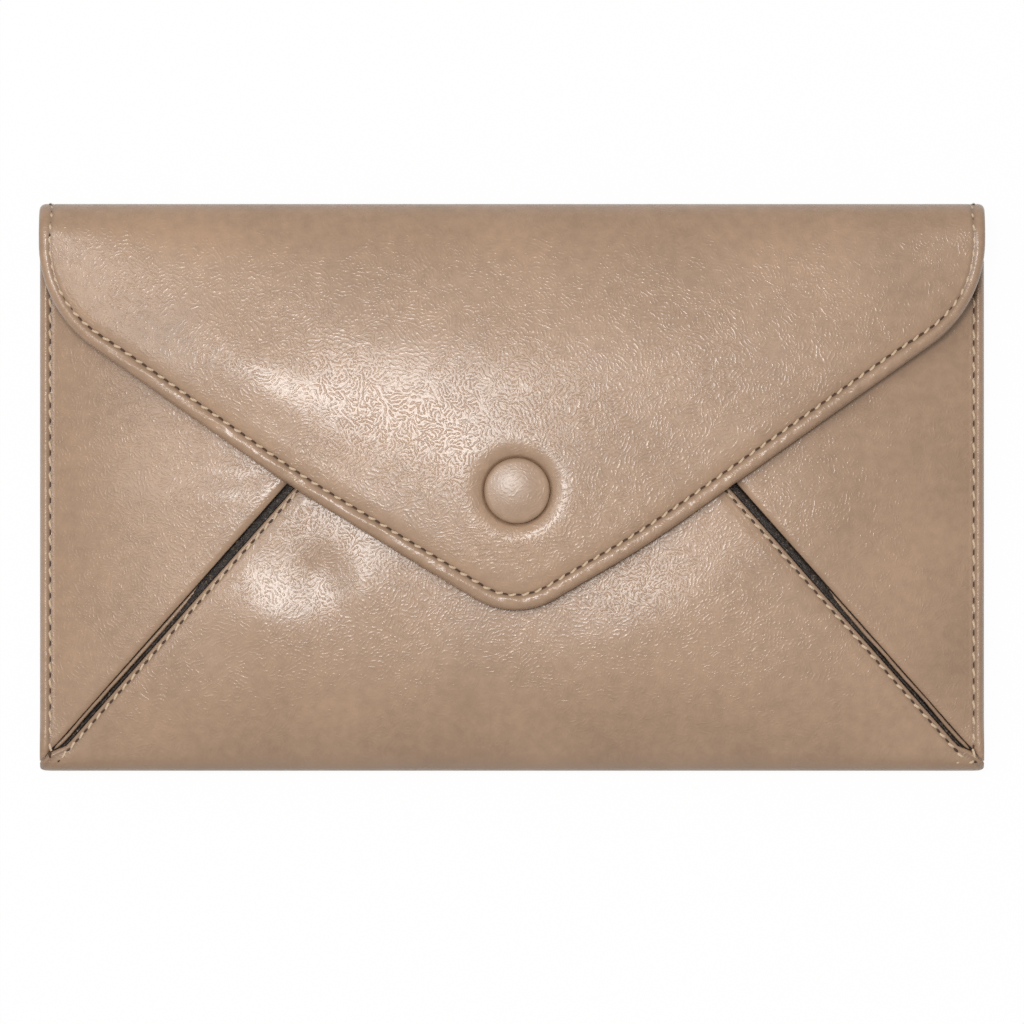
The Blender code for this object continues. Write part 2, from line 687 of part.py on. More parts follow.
def build_front(wallet):
    """The centre panel that lifts about its lower edge, its lining, and the snap's stud."""
    plan = window(-HALF_WIDTH, HALF_WIDTH, -BOTTOM_FOLD_Y + GAP, MOUTH_Y)
    left = inside_seam(SEAM_HALF)
    bm = sheet(plan + left + mirrored(left), FRONT_TOP - LEATHER, FRONT_SWELL, LEATHER)
    panel = wallet.add("front_panel", bm, TAN, wallet.front)
    top = FRONT_TOP + FRONT_SWELL
    hole = cylinder(SNAP_X, SNAP_Y, STUD_HOLE, 0.0, TALL)
    wallet.cut(panel, "stud_hole", hole)
    round_edges(panel)
    left = inside_seam(GUSSET_HALF + GAP)
    bm = sheet(plan + left + mirrored(left), FRONT_LINING_BASE, FRONT_SWELL, LINING)
    lining = wallet.add("front_lining", bm, BLACK_CLOTH, wallet.front)
    wallet.cut(lining, "rivet_hole", cylinder(SNAP_X, SNAP_Y, STUD_HOLE, 0.0, TALL))

    base = top + GAP
    neck = base + STUD_BASE_THICKNESS
    knob = neck + STUD_RISE
    shoulder = (neck + knob) / 2
    inside = FRONT_LINING_BASE + FRONT_SWELL - GAP
    stud = lathe(
        [
            (0.0, base),
            (STUD_BASE_RADIUS, base),
            (STUD_BASE_RADIUS, neck),
            (STUD_WAIST_RADIUS, neck),
            (STUD_WAIST_RADIUS, (neck + shoulder) / 2),
            (STUD_KNOB_RADIUS, shoulder),
            (STUD_KNOB_RADIUS, (shoulder + knob) / 2),
            (STUD_WAIST_RADIUS, knob),
            (0.0, knob),
        ],
        SNAP_X,
        SNAP_Y,
    )
    wallet.add("snap_stud", stud, BRASS, wallet.front)
    rivet = lathe(
        [
            (0.0, inside - RIVET_THICKNESS),
            (RIVET_RADIUS, inside - RIVET_THICKNESS),
            (RIVET_RADIUS, inside),
            (STUD_POST_RADIUS, inside),
            (STUD_POST_RADIUS, top),
            (0.0, top),
        ],
        SNAP_X,
        SNAP_Y,
    )
    wallet.add("snap_stud_rivet", rivet, BRASS, wallet.front)


def build_flap(wallet):
    """The flap's three layers and the covered cap that snaps onto the stud."""
    outline = list(sides(flap_outline()))
    hem = [side for side in outline if side[1].y < LEVEL_LIMIT]
    fold = [side for side in outline if side[1].y >= LEVEL_LIMIT]
    under = FLAP_UNDERSIDE
    leather_base = under + FLAP_STACK - LEATHER
    bm = sheet(outline, leather_base, FLAP_SWELL, LEATHER, FLAP_POWER)
    turn_edge(bm, hem, HEM_WIDTH - GAP, depth=FLAP_STACK - LEATHER)
    panel = wallet.add("flap_panel", bm, TAN, wallet.flap)
    wallet.cut(panel, "neck_hole", cylinder(SNAP_X, SNAP_Y, LEATHER_HOLE, 0.0, TALL))
    round_edges(panel)
    middle = under + LINING + GAP
    layers = (
        ("flap_stiffener", middle, STIFFENER, BOARD),
        ("flap_lining", under, LINING, BLACK_CLOTH),
    )
    for name, base, thickness, finish in layers:
        cuts = inset(hem, HEM_WIDTH) + fold
        bm = sheet(cuts, base, FLAP_SWELL, thickness, FLAP_POWER)
        layer = wallet.add(name, bm, finish, wallet.flap)
        hole = cylinder(SNAP_X, SNAP_Y, LINING_HOLE, 0.0, TALL)
        wallet.cut(layer, name + "_hole", hole)

    leather_low = leather_base + FLAP_SWELL
    leather_high = leather_low + LEATHER
    socket_top = leather_low - GAP
    socket = lathe(
        [
            (NECK_BORE, socket_top - SOCKET_THICKNESS),
            (SOCKET_RADIUS, socket_top - SOCKET_THICKNESS),
            (SOCKET_RADIUS, socket_top),
            (NECK_BORE, socket_top),
        ],
        SNAP_X,
        SNAP_Y,
        ring=True,
    )
    wallet.add("snap_socket", socket, BRASS, wallet.flap)
    seat = leather_high + GAP
    hollow = seat + SHELL_THICKNESS
    shell = lathe(
        [
            (NECK_BORE, socket_top + GAP),
            (NECK_BORE + NECK_WALL, socket_top + GAP),
            (NECK_BORE + NECK_WALL, seat),
            (SHELL_RADIUS, seat),
            (SHELL_RADIUS, hollow),
            (NECK_BORE, hollow),
        ],
        SNAP_X,
        SNAP_Y,
        ring=True,
    )
    wallet.add("snap_cap_shell", shell, BRASS, wallet.flap)
    crown = leather_high + CAP_RISE
    shoulder_height = (crown - seat) / 2
    ceiling = hollow + GAP
    cover = [(SHELL_RADIUS + GAP, seat), (CAP_RADIUS, seat), (CAP_RADIUS, seat + GAP)]
    for step in range(1, ARC_STEPS + 1):
        angle = math.pi / 2 * step / ARC_STEPS
        radius = CAP_RADIUS * math.cos(angle) ** 0.75
        rise = GAP + (crown - seat - GAP) * math.sin(angle) ** 0.9
        cover.append((radius if step < ARC_STEPS else 0.0, seat + rise))
    cover.append((0.0, min(ceiling, crown - CAP_SHELL_WALL / 2, seat + shoulder_height * 2)))
    cover.append((SHELL_RADIUS + GAP, cover[-1][1]))
    bm = lathe_cover(cover)
    wallet.add("snap_cap", bm, TAN, wallet.flap)


def lathe_cover(points):
    """A dome and its hollow, which both reach the axis."""
    top = [index for index, point in enumerate(points) if point[0] == 0.0]
    outer = points[: top[0] + 1]
    inner = points[top[1] :] + points[:1]
    bm = bmesh.new()
    for line in (outer, inner):
        verts = [bm.verts.new((SNAP_X + radius, SNAP_Y, z)) for radius, z in line]
        edges = [bm.edges.new(pair) for pair in zip(verts, verts[1:])]
        bmesh.ops.spin(
            bm,
            geom=verts + edges,
            cent=(SNAP_X, SNAP_Y, 0.0),
            axis=(0.0, 0.0, 1.0),
            angle=math.tau,
            steps=LATHE_STEPS,
        )
    bmesh.ops.remove_doubles(bm, verts=bm.verts[:], dist=MERGE)
    bmesh.ops.recalc_face_normals(bm, faces=bm.faces[:])
    return bm


def main():
    clear_scene()
    wallet = Wallet()
    build_back(wallet)
    build_top_fold(wallet)
    build_inside(wallet)
    build_coin_pocket(wallet)
    build_side_panels(wallet)
    build_front(wallet)
    build_flap(wallet)


main()
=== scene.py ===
import math

import bmesh
import bpy
import numpy as np
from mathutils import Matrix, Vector
from mathutils.geometry import delaunay_2d_cdt


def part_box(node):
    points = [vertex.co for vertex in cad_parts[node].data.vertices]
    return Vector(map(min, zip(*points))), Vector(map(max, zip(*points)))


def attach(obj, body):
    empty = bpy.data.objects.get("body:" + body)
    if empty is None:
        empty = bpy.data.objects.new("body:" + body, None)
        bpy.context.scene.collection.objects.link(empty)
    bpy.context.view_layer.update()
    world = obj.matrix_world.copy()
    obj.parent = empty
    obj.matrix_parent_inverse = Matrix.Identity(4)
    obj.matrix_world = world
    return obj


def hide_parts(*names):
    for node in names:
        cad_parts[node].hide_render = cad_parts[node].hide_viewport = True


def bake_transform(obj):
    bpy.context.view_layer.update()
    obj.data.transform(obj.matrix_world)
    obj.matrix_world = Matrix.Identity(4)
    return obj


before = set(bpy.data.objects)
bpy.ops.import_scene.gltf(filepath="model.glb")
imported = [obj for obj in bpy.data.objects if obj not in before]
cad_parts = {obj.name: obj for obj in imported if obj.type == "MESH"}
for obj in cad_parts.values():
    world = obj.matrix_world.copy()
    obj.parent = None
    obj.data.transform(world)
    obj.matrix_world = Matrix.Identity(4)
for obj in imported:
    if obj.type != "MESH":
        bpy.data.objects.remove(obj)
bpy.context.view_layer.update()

bl_info = {
    "name": "Clutch wallet",
    "version": (1, 0, 0),
    "blender": (4, 5, 0),
    "location": "3D View > Sidebar > Wallet",
    "description": "Dresses the clutch wallet: leather skins, linings, stitching, snap and zip",
    "category": "Object",
}

# Lengths are millimetres in the wallet's own frame; meshes are written in metres.
MM = 0.001


def span(node):
    """Low and high corner of a CAD node's box."""
    low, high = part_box(node)
    return low / MM, high / MM


# Outline, folds and crowns, from the CAD nodes
HALF_W = span("bottom_fold")[1].x
HALF_H = span("top_fold")[1].y
RIM_Z = span("bottom_fold")[1].z
LEATHER = RIM_Z - span("front_panel")[0].z
FRONT_CROWN = span("front_panel")[1].z
MOUTH_Y = span("front_panel")[1].y
TOP_R = span("top_fold")[1].z / 2
TOP_Y = HALF_H - TOP_R
LOW_R = RIM_Z / 2
LOW_Y = HALF_H - LOW_R
FLAP_CROWN = span("flap_panel")[1].z
FLAP_RIM = 2 * TOP_R
FLAP_STACK = FLAP_RIM - span("flap_panel")[0].z
SWELL_X = 93.0
TOP_LEAN = math.radians(38)
LOW_LEAN = math.radians(48)

# Cloth, board and the divider
CLOTH = 0.4
BOARD = 0.5
BOARD_DEPTH = 1.6
BACK_LINING_DEPTH = 2.4
CORNER = 0.2
DIVIDER_LOW = span("centre_divider")[0].z + CLOTH
DIVIDER_CROWN = span("centre_divider")[1].z

# Snap: the covered cap, the neck through the leather and the washer's hole in the cloth
SNAP = np.array([1.0, -0.8])
CAP_R = (span("snap_cap")[1].x - span("snap_cap")[0].x) / 2
RING_R = 6.6
NECK_R = 3.35
WASHER_R = 6.2

# Diagonal seams, drawn on the left and mirrored; edges are offsets from the seam's line.
# Between two heights the slit grows from its narrow foot to its full width.
SEAM_FOOT = np.array([-94.2, -55.6])
SEAM_HEAD = np.array([-4.0, MOUTH_Y])
SIDE_EDGE = -1.0
FRONT_EDGE = 0.75
FRONT_STITCH = 1.65
SLIT_OPENS = (-34, -14)
SEAM_RUN = (SEAM_HEAD - SEAM_FOOT) / np.linalg.norm(SEAM_HEAD - SEAM_FOOT)
SEAM_OVER = np.array([SEAM_RUN[1], -SEAM_RUN[0]])

# Sewn edges: stitch lines in from the edge, thickness at the edge, end of the turned leather
SIDE_STITCH = 2.1
BACK_STITCH = 2.2
BACK_EDGE = 2.1
SIDE_HALF = 2.1
TURNED_IN = (3.15, 3.4)
THINNEST = 0.02

# Flat cuts: no line near, on the edge, one and the same point, height of a lattice row
FAR = 1e9
ON_EDGE = 1e-3
SAME_SPOT = 0.04
LATTICE_ROW = 0.866

# Steps round the outline and over the area of the leather's and the linings' meshes
LEATHER_MESH = (0.8, 1.2)
LINING_MESH = (2.0, 3.0)

# Distances of the mesh rows that follow a turned edge
EDGE_RINGS = [
    0.03, 0.1, 0.22, 0.4, 0.62, 0.9, 1.2, 1.5, 1.8, 2.05, 2.3, 2.55, 2.8, 3.05, 3.3, 3.6, 4.1, 4.8,
]
THIN_RINGS = [0.05, 0.15, 0.3]

# Soft swellings and hollows of the stuffed leather: x, y, length, width, turn in degrees, height
FRONT_PUFFS = [
    (-50.0, -27.0, 7.5, 12.5, 70.0, 0.7),
    (-30.0, -19.0, 12.0, 9.0, -30.0, 0.55),
    (-38.0, -17.5, 5.0, 5.0, 0.0, -0.5),
    (-60.0, 0.0, 20.0, 13.0, 48.0, 0.6),
    (32.0, -26.0, 18.0, 9.0, 25.0, 0.5),
    (62.0, -4.0, 14.0, 12.0, -45.0, 0.4),
]
FLAP_PUFFS = [
    (-8.4, 3.6, 33.0, 14.5, -31.2, 0.5),
    (2.0, -2.0, 36.0, 40.0, -15.0, 2.0),
    (-52.0, 22.0, 18.0, 8.0, -31.2, 0.7),
]
# Corners of the flap's free edge: shares of the half width and half height, and their radii
FLAP_CORNERS = [
    (-1.0, 0.626, 26.0),
    (-0.458, -0.0087, 250.0),
    (0.0052, -0.478, 15.6),
    (0.2917, -0.1991, 200.0),
    (1.0, 0.6365, 26.0),
]


# Shapes ------------------------------------------------------------------------------------


def smooth(value, low, high):
    """0 below low and 1 above high, with a soft rise between them."""
    t = np.clip((value - low) / (high - low), 0.0, 1.0)
    return t * t * (3 - 2 * t)


def bell(value, width):
    """1 at zero, falling off on both sides over the width."""
    return np.exp(-((value / width) ** 2))


def across(x):
    """Share of the full swelling over the wallet's width."""
    return np.clip(1 - np.abs(x / SWELL_X) ** 5, 0, 1)


def from_snap(x, y):
    """Distance from the snap's axis."""
    return np.hypot(x - SNAP[0], y - SNAP[1])


def puffs(x, y, table):
    """Sum of a table's soft swellings and hollows."""
    total = np.zeros_like(x)
    for cx, cy, length, width, turn, height in table:
        c, s = math.cos(math.radians(turn)), math.sin(math.radians(turn))
        along, over = (x - cx) * c + (y - cy) * s, (y - cy) * c - (x - cx) * s
        total += height * np.exp(-((along / length) ** 2) - (over / width) ** 2)
    return total


def dimple(x, y):
    """The leather drawn down in a ring around the covered snap."""
    r = from_snap(x, y)
    ring = 0.6 * bell(r - RING_R, 1.4) + 0.6 * bell(r - RING_R, 0.4)
    return -np.where(r < RING_R, np.maximum(ring, 1.2), ring)


def held(x, y):
    """The snap holds the stuffed leather down close around it."""
    return 0.88 + 0.12 * smooth(from_snap(x, y), 5.0, 12.0)


def brow(y, crown, fold_y, radius, lean, slope=0.0, start=16.0, full=40.0):
    """Middle profile of a swollen sheet that meets its fold without a crease.

    The sheet starts to fall at start, falls by the slope from full on and curls into the fold.
    """
    reach = fold_y + radius * math.sin(lean)
    drop = crown - radius * (1 + math.cos(lean))
    even = slope * ((full - start) / 2 + reach - full)
    power = (math.tan(lean) - slope) * reach / (drop - even)
    y = np.clip(y, 0, reach)
    t = np.clip((y - start) / (full - start), 0, 1)
    fall = slope * ((full - start) * (t**3 - t**4 / 2) + np.clip(y - full, 0, None))
    return crown - fall - (drop - even) * (y / reach) ** power


def rim(y, fold_y, radius):
    """Height of the leather where it doesn't swell: level, then round its fold."""
    over = np.clip(y - fold_y, 0, radius)
    return radius + np.sqrt(np.clip(radius**2 - over**2, 0, None))


def flap_height(x, y):
    """Top of the flap's leather above the resting plane."""
    share = across(x)
    middle = brow(y, FLAP_CROWN, TOP_Y, TOP_R, TOP_LEAN, slope=0.13)
    level = rim(y, TOP_Y, TOP_R)
    low = 1 - (np.clip(-y, 0, None) / LOW_Y) ** 2.6
    swell = np.where(y > 0, middle - level, (FLAP_CROWN - FLAP_RIM) * low)
    return level + share * swell + puffs(x, y, FLAP_PUFFS) * held(x, y) + dimple(x, y)


def front_height(x, y):
    """Top of the front pocket's leather above the resting plane."""
    share = across(x)
    middle = brow(-y, FRONT_CROWN, LOW_Y, LOW_R, LOW_LEAN)
    level = rim(-y, LOW_Y, LOW_R)
    high = 1 - (np.clip(y, 0, None) / TOP_Y) ** 6
    swell = np.where(y < 0, middle - level, (FRONT_CROWN - RIM_Z) * high)
    return level + share * swell + puffs(x, y, FRONT_PUFFS) * smooth(-y, -4.0, 3.0) + dimple(x, y)


def fold_over(x, v, depth, height, fold_y, radius, lean, ease_length=6):
    """Places the flat cut in space: along the sheet, then round the fold past its lean."""
    turn = fold_y + radius * math.sin(lean)
    angle = lean + np.clip(v - turn, 0, None) / radius
    y = np.where(v > turn, fold_y + (radius - depth) * np.sin(angle), v)
    z = np.where(v > turn, radius + (radius - depth) * np.cos(angle), height - depth)
    ease = smooth(v, turn - ease_length, turn) * (v <= turn)
    y = y - ease * depth * math.sin(lean)
    z = z + ease * depth * (1 - math.cos(lean))
    return np.stack([x, y, z], 1)


def place_flap(x, v, depth):
    return fold_over(x, v, depth, flap_height(x, np.minimum(v, HALF_H)), TOP_Y, TOP_R, TOP_LEAN)


def place_front(x, v, depth):
    height = front_height(x, np.maximum(v, -HALF_H))
    spot = fold_over(x, -v, depth, height, LOW_Y, LOW_R, LOW_LEAN)
    spot[:, 1] *= -1
    return spot


def place_back(x, v, depth):
    """The back lies flat and runs up into the lower quarter of both folds."""
    y, z = v.copy(), depth.copy()
    for sign, fold_y, radius in ((1, TOP_Y, TOP_R), (-1, LOW_Y, LOW_R)):
        angle = np.clip(sign * v - fold_y, 0, None) / radius
        there = sign * v > fold_y
        y = np.where(there, sign * (fold_y + (radius - depth) * np.sin(angle)), y)
        z = np.where(there, radius - (radius - depth) * np.cos(angle), z)
    return np.stack([x, y, z], 1)


def place_divider(x, v, depth):
    """Upper face of the centre divider, less a depth."""
    low = 1 - (np.clip(-v, 0, None) / LOW_Y) ** 3.5
    high = 1 - (np.clip(v, 0, None) / TOP_Y) ** 6
    height = DIVIDER_LOW + (DIVIDER_CROWN - DIVIDER_LOW) * across(x) * np.where(v > 0, high, low)
    return np.stack([x, v, height - depth], 1)


def fold_end(fold_y, radius, lean):
    """Flat-cut coordinate of the fold's outermost line."""
    return fold_y + radius * math.sin(lean) + radius * (math.pi / 2 - lean)


FLAP_END = fold_end(TOP_Y, TOP_R, TOP_LEAN)
FRONT_END = -fold_end(LOW_Y, LOW_R, LOW_LEAN)
BACK_TOP = TOP_Y + TOP_R * math.pi / 2
BACK_LOW = -LOW_Y - LOW_R * math.pi / 2


# Flat cuts ---------------------------------------------------------------------------------


def unit(rows):
    return rows / np.linalg.norm(rows, axis=1)[:, None]


def left_of(run):
    """Unit directions to the left of a flat line's runs."""
    run = run / np.hypot(run[:, 0], run[:, 1])[:, None]
    return np.stack([-run[:, 1], run[:, 0]], 1)


def arc_corner(before, corner, after, radius, steps=22):
    """Points of the arc that rounds one corner of a cut."""
    before, corner, after = (np.array(p, float) for p in (before, corner, after))
    one = (before - corner) / np.linalg.norm(before - corner)
    two = (after - corner) / np.linalg.norm(after - corner)
    half = math.acos(np.clip(one @ two, -1, 1)) / 2
    middle = (one + two) / np.linalg.norm(one + two)
    centre = corner + middle * radius / math.sin(half)
    first = corner + one * radius / math.tan(half) - centre
    turn = math.pi - 2 * half
    if one[0] * two[1] - one[1] * two[0] > 0:
        turn = -turn
    made = []
    for step in range(steps + 1):
        a = turn * step / steps
        c, s = math.cos(a), math.sin(a)
        made.append(centre + np.array([first[0] * c - first[1] * s, first[0] * s + first[1] * c]))
    return made


def flap_line(inset=0.0):
    """The flap's free edge from its top left corner round the point to its top right."""
    corners = [(-1.0, FLAP_END / HALF_H, 0), *FLAP_CORNERS, (1.0, FLAP_END / HALF_H, 0)]
    spots = [(x * HALF_W, y * HALF_H) for x, y, _ in corners]
    line = [np.array(spots[0])]
    for i in range(1, len(corners) - 1):
        line += arc_corner(spots[i - 1], spots[i], spots[i + 1], corners[i][2])
    line.append(np.array(spots[-1]))
    if inset:
        line = np.array(line)
        run = np.diff(line, axis=0)
        run /= np.hypot(run[:, 0], run[:, 1])[:, None]
        run = np.vstack([run[:1], run[:-1] + run[1:], run[-1:]])
        line = list(line + left_of(run) * inset)
    return line


def seam_point(offset, y):
    """Point of the left seam's line moved over by offset, at height y."""
    base = SEAM_FOOT + SEAM_OVER * offset
    return base + SEAM_RUN * (y - base[1]) / SEAM_RUN[1]


def seam_at_x(offset, x):
    base = SEAM_FOOT + SEAM_OVER * offset
    return base + SEAM_RUN * (x - base[0]) / SEAM_RUN[0]


def mirror_line(line):
    return [np.array([-p[0], p[1]]) for p in reversed(line)]


def mirror_sides(sides):
    return [(kind, mirror_line(line)) for kind, line in reversed(sides)]


def rectangle(low, high):
    """Outline of a box, from its upper left corner down the left side."""
    return [(low.x, high.y), (low.x, low.y), (high.x, low.y), (high.x, high.y), (low.x, high.y)]


def circle(centre, radius, count=64):
    return [np.array(centre) + radius * np.array([math.cos(a), -math.sin(a)])
            for a in np.linspace(0, math.tau, count + 1)]


def segments(line):
    line = np.array(line, float)
    return line[:-1], line[1:]


def distance(points, line):
    """Distance of each point from a broken line."""
    best = np.full(len(points), FAR)
    for a, b in zip(*segments(line)):
        run = b - a
        t = np.clip(((points - a) @ run) / max(run @ run, 1e-12), 0, 1)
        gap = points - (a + t[:, None] * run)
        best = np.minimum(best, np.hypot(gap[:, 0], gap[:, 1]))
    return best


def nearest(points, lines):
    """Distance of each point from the nearest of several lines."""
    return np.min([np.full(len(points), FAR), *[distance(points, line) for line in lines]], 0)


def inside(points, outline):
    found = np.zeros(len(points), bool)
    for a, b in zip(outline, np.roll(outline, -1, 0)):
        if a[1] == b[1]:
            continue
        hit = (points[:, 1] > min(a[1], b[1])) & (points[:, 1] <= max(a[1], b[1]))
        x = a[0] + (points[:, 1] - a[1]) * (b[0] - a[0]) / (b[1] - a[1])
        found ^= hit & (points[:, 0] < x)
    return found


def edge_points(sides, rings, step):
    """Points round a cut's outline, and whether the run that each one starts is turned over."""
    points, turned = [], []
    last = rings[-1] if rings else 0.0
    for kind, line in sides:
        for a, b in zip(*segments(line)):
            length = np.linalg.norm(b - a)
            places = list(np.arange(0, length - step * 0.4, length / max(1, round(length / step))))
            if kind == "cut" and rings:
                near = [r for r in rings if r < length / 2]
                middle = [p for p in places if last + step * 0.5 < p < length - last - step * 0.5]
                places = [0.0, *near, *middle, *[length - r for r in reversed(near)]]
            points += [a + (b - a) * place / length for place in places]
            turned += [kind != "cut"] * len(places)
    return np.array(points), np.array(turned)


def ring_points(edge, turned, rings, step, free, cut):
    """Rows of points that follow the turned edges, one at each ring's distance."""
    normal = left_of(np.roll(edge, -1, 0) - edge)
    before = np.roll(normal, 1, 0)
    was_turned = np.roll(turned, 1)
    both, leaving, coming = turned & was_turned, turned & ~was_turned, ~turned & was_turned
    bent = (normal + before) / (1 + np.sum(normal * before, 1))[:, None].clip(0.3)
    rows = []
    for ring in rings:
        spots = np.concatenate([
            edge[both] + bent[both] * ring,
            edge[leaving] + normal[leaving] * ring,
            edge[coming] + before[coming] * ring,
        ])
        good = inside(spots, edge) & (nearest(spots, free) > ring - 0.02)
        good &= nearest(spots, cut) > min(0.3, step * 0.4)
        rows.append(spots[good])
    return rows


def lattice_points(edge, pitch, clear, free, cut):
    """An even lattice inside the outline, clear of the rings."""
    low, high = edge.min(0), edge.max(0)
    grid = []
    for index, y in enumerate(np.arange(low[1], high[1], pitch * LATTICE_ROW)):
        xs = np.arange(low[0] + (index % 2) * pitch / 2, high[0], pitch)
        grid.append(np.stack([xs, np.full(len(xs), y)], 1))
    grid = np.concatenate(grid)
    grid = grid[inside(grid, edge)]
    return grid[(nearest(grid, free) > clear + pitch * 0.55) & (nearest(grid, cut) > pitch * 0.5)]


def fill_cut(sides, rings, step, pitch, hole=None):
    """Fills a flat cut with triangles: rings follow its turned edges, an even lattice the rest."""
    edge, turned = edge_points(sides, rings, step)
    free = [line for kind, line in sides if kind != "cut"]
    cut = [line for kind, line in sides if kind == "cut"]
    last = rings[-1] if rings else 0.0
    clouds = [edge, *ring_points(edge, turned, rings, step, free, cut)]
    grid = lattice_points(edge, pitch, last, free, cut)
    count = len(edge)
    loop = [(i, (i + 1) % count) for i in range(count)]
    if hole is not None:
        centre, radius = hole
        around = np.array(circle(centre, radius)[:-1])
        loop += [(count + i, count + (i + 1) % len(around)) for i in range(len(around))]
        clouds[0] = np.concatenate([edge, around])
        clouds += [np.array(circle(centre, radius + ring)[:-1]) for ring in rings]
        count += len(around)
        off = np.hypot(grid[:, 0] - centre[0], grid[:, 1] - centre[1])
        grid = grid[off > radius + last + pitch * 0.5]
    cloud = np.concatenate([*clouds, grid])
    keys = np.round(cloud / SAME_SPOT).astype(int)
    _, first = np.unique(keys, axis=0, return_index=True)
    cloud = cloud[np.union1d(first, np.arange(count))]
    made = delaunay_2d_cdt([Vector(p) for p in cloud], loop, [], 1, 1e-5)
    spots = np.array([tuple(p) for p in made[0]])
    faces = np.array([tuple(f) for f in made[2]])
    a, b, c = (spots[faces[:, i]] for i in range(3))
    area = (b[:, 0] - a[:, 0]) * (c[:, 1] - a[:, 1]) - (b[:, 1] - a[:, 1]) * (c[:, 0] - a[:, 0])
    faces[area < 0] = faces[area < 0][:, ::-1]
    if hole is not None:
        middle = spots[faces].mean(1)
        off = np.hypot(middle[:, 0] - centre[0], middle[:, 1] - centre[1])
        used, faces = np.unique(faces[off > radius * 0.998], return_inverse=True)
        spots, faces = spots[used], faces.reshape(-1, 3)
    return spots, faces


def shell(name, sides, rings, step, pitch, place, depths, material, face_down=False, hole=None):
    """Closed sheet from a flat cut: upper and lower skins that meet round the turned edges."""
    spots, faces = fill_cut(sides, rings, step, pitch, hole)
    if hole is not None:
        sides = [*sides, ("hole", circle(*hole))]
    kinds = sorted({kind for kind, _ in sides})
    gaps = {kind: nearest(spots, [line for k, line in sides if k == kind]) for kind in kinds}
    turned = np.min([gaps[kind] for kind in kinds if kind != "cut"], 0)
    x, v = spots[:, 0], spots[:, 1]
    # A depths function may give a third value: painted shade for each point.
    upper_depth, lower_depth, *painted_shade = depths(x, v, gaps)
    painted_shade = painted_shade[0] if painted_shade else np.zeros(len(x))
    upper, lower = place(x, v, upper_depth), place(x, v, lower_depth)
    shared = turned < ON_EDGE
    free = np.flatnonzero(~shared)
    under = np.arange(len(spots))
    under[free] = len(spots) + np.arange(len(free))
    runs = dict.fromkeys(run for a, b, c in faces for run in ((a, b), (b, c), (c, a)))
    polygons = [tuple(f) for f in faces]
    polygons += [(under[c], under[b], under[a]) for a, b, c in faces]
    for a, b in runs:
        wall = [b, a, *[under[i] for i in (a, b) if not shared[i]]]
        if (b, a) not in runs and len(wall) > 2:
            polygons.append(tuple(wall))
    if face_down:
        polygons = [p[::-1] for p in polygons]
    return make_piece(
        name, np.concatenate([upper, lower[free]]) * MM, polygons, material,
        flat=np.concatenate([spots, spots[free]]),
        edge=np.concatenate([turned, turned[free]]),
        painted_shade=np.concatenate([painted_shade, np.zeros(len(free))]),
    )


def make_piece(name, verts, polygons, material, flat=None, edge=None, painted_shade=None, sharp=50):
    """A mesh object with its flat-cut map and the edge and painted-shade values of its points."""
    mesh = bpy.data.meshes.new(name)
    mesh.from_pydata(np.asarray(verts).tolist(), [], [tuple(int(i) for i in p) for p in polygons])
    mesh.validate()
    if flat is not None:
        loops = np.zeros(len(mesh.loops), np.int32)
        mesh.loops.foreach_get("vertex_index", loops)
        layer = mesh.uv_layers.new(name="flat_cut")
        layer.data.foreach_set("uv", (flat[loops] * MM).astype(np.float32).ravel())
    for label, values in (("edge_mm", edge), ("painted_shade", painted_shade)):
        if values is not None:
            attribute = mesh.attributes.new(label, "FLOAT", "POINT")
            attribute.data.foreach_set("value", np.minimum(values, 50).astype(np.float32))
    mesh.shade_smooth()
    mesh.set_sharp_from_angle(angle=math.radians(sharp))
    mesh.materials.append(material)
    return link(name, mesh)


def link(name, mesh):
    piece = bpy.data.objects.new(name, mesh)
    bpy.context.scene.collection.objects.link(piece)
    return piece


def roll(gap, radius, half, power=2.0):
    """Drop of a rounded edge: half at the rim, none past its radius."""
    t = np.clip((radius - gap) / radius, 0, 1)
    return half * (1 - (1 - t**power) ** (1 / power))


def cord(name, path, width, height, material, sides=12, taper=2.0):
    """A cord along a path, closed and tapered at both ends; width has a value for each point."""
    run = unit(np.gradient(path, axis=0))
    over = unit(np.cross(run, (0.0, 0.0, 1.0)))
    up = np.cross(over, run)
    along = np.concatenate([[0], np.cumsum(np.linalg.norm(np.diff(path, axis=0), axis=1))])
    end = np.minimum(along, along[-1] - along)
    size = np.sqrt(np.clip(1 - (1 - np.clip(end / taper, 0, 1)) ** 2, 0.02, 1))
    verts, flat, polygons = [], [], []
    for i, centre in enumerate(path):
        w, h = width[i] * size[i], height * size[i]
        for k in range(sides):
            a = math.tau * k / sides
            verts.append(centre + over[i] * math.cos(a) * w + up[i] * math.sin(a) * h)
            flat.append((along[i], a / math.tau * 2.5))
    for base in range(0, (len(path) - 1) * sides, sides):
        for k in range(sides):
            n = (k + 1) % sides
            polygons.append((base + k, base + n, base + sides + n, base + sides + k))
    polygons.append(tuple(reversed(range(sides))))
    polygons.append(tuple((len(path) - 1) * sides + k for k in range(sides)))
    return make_piece(name, np.array(verts) * MM, polygons, material, np.array(flat))


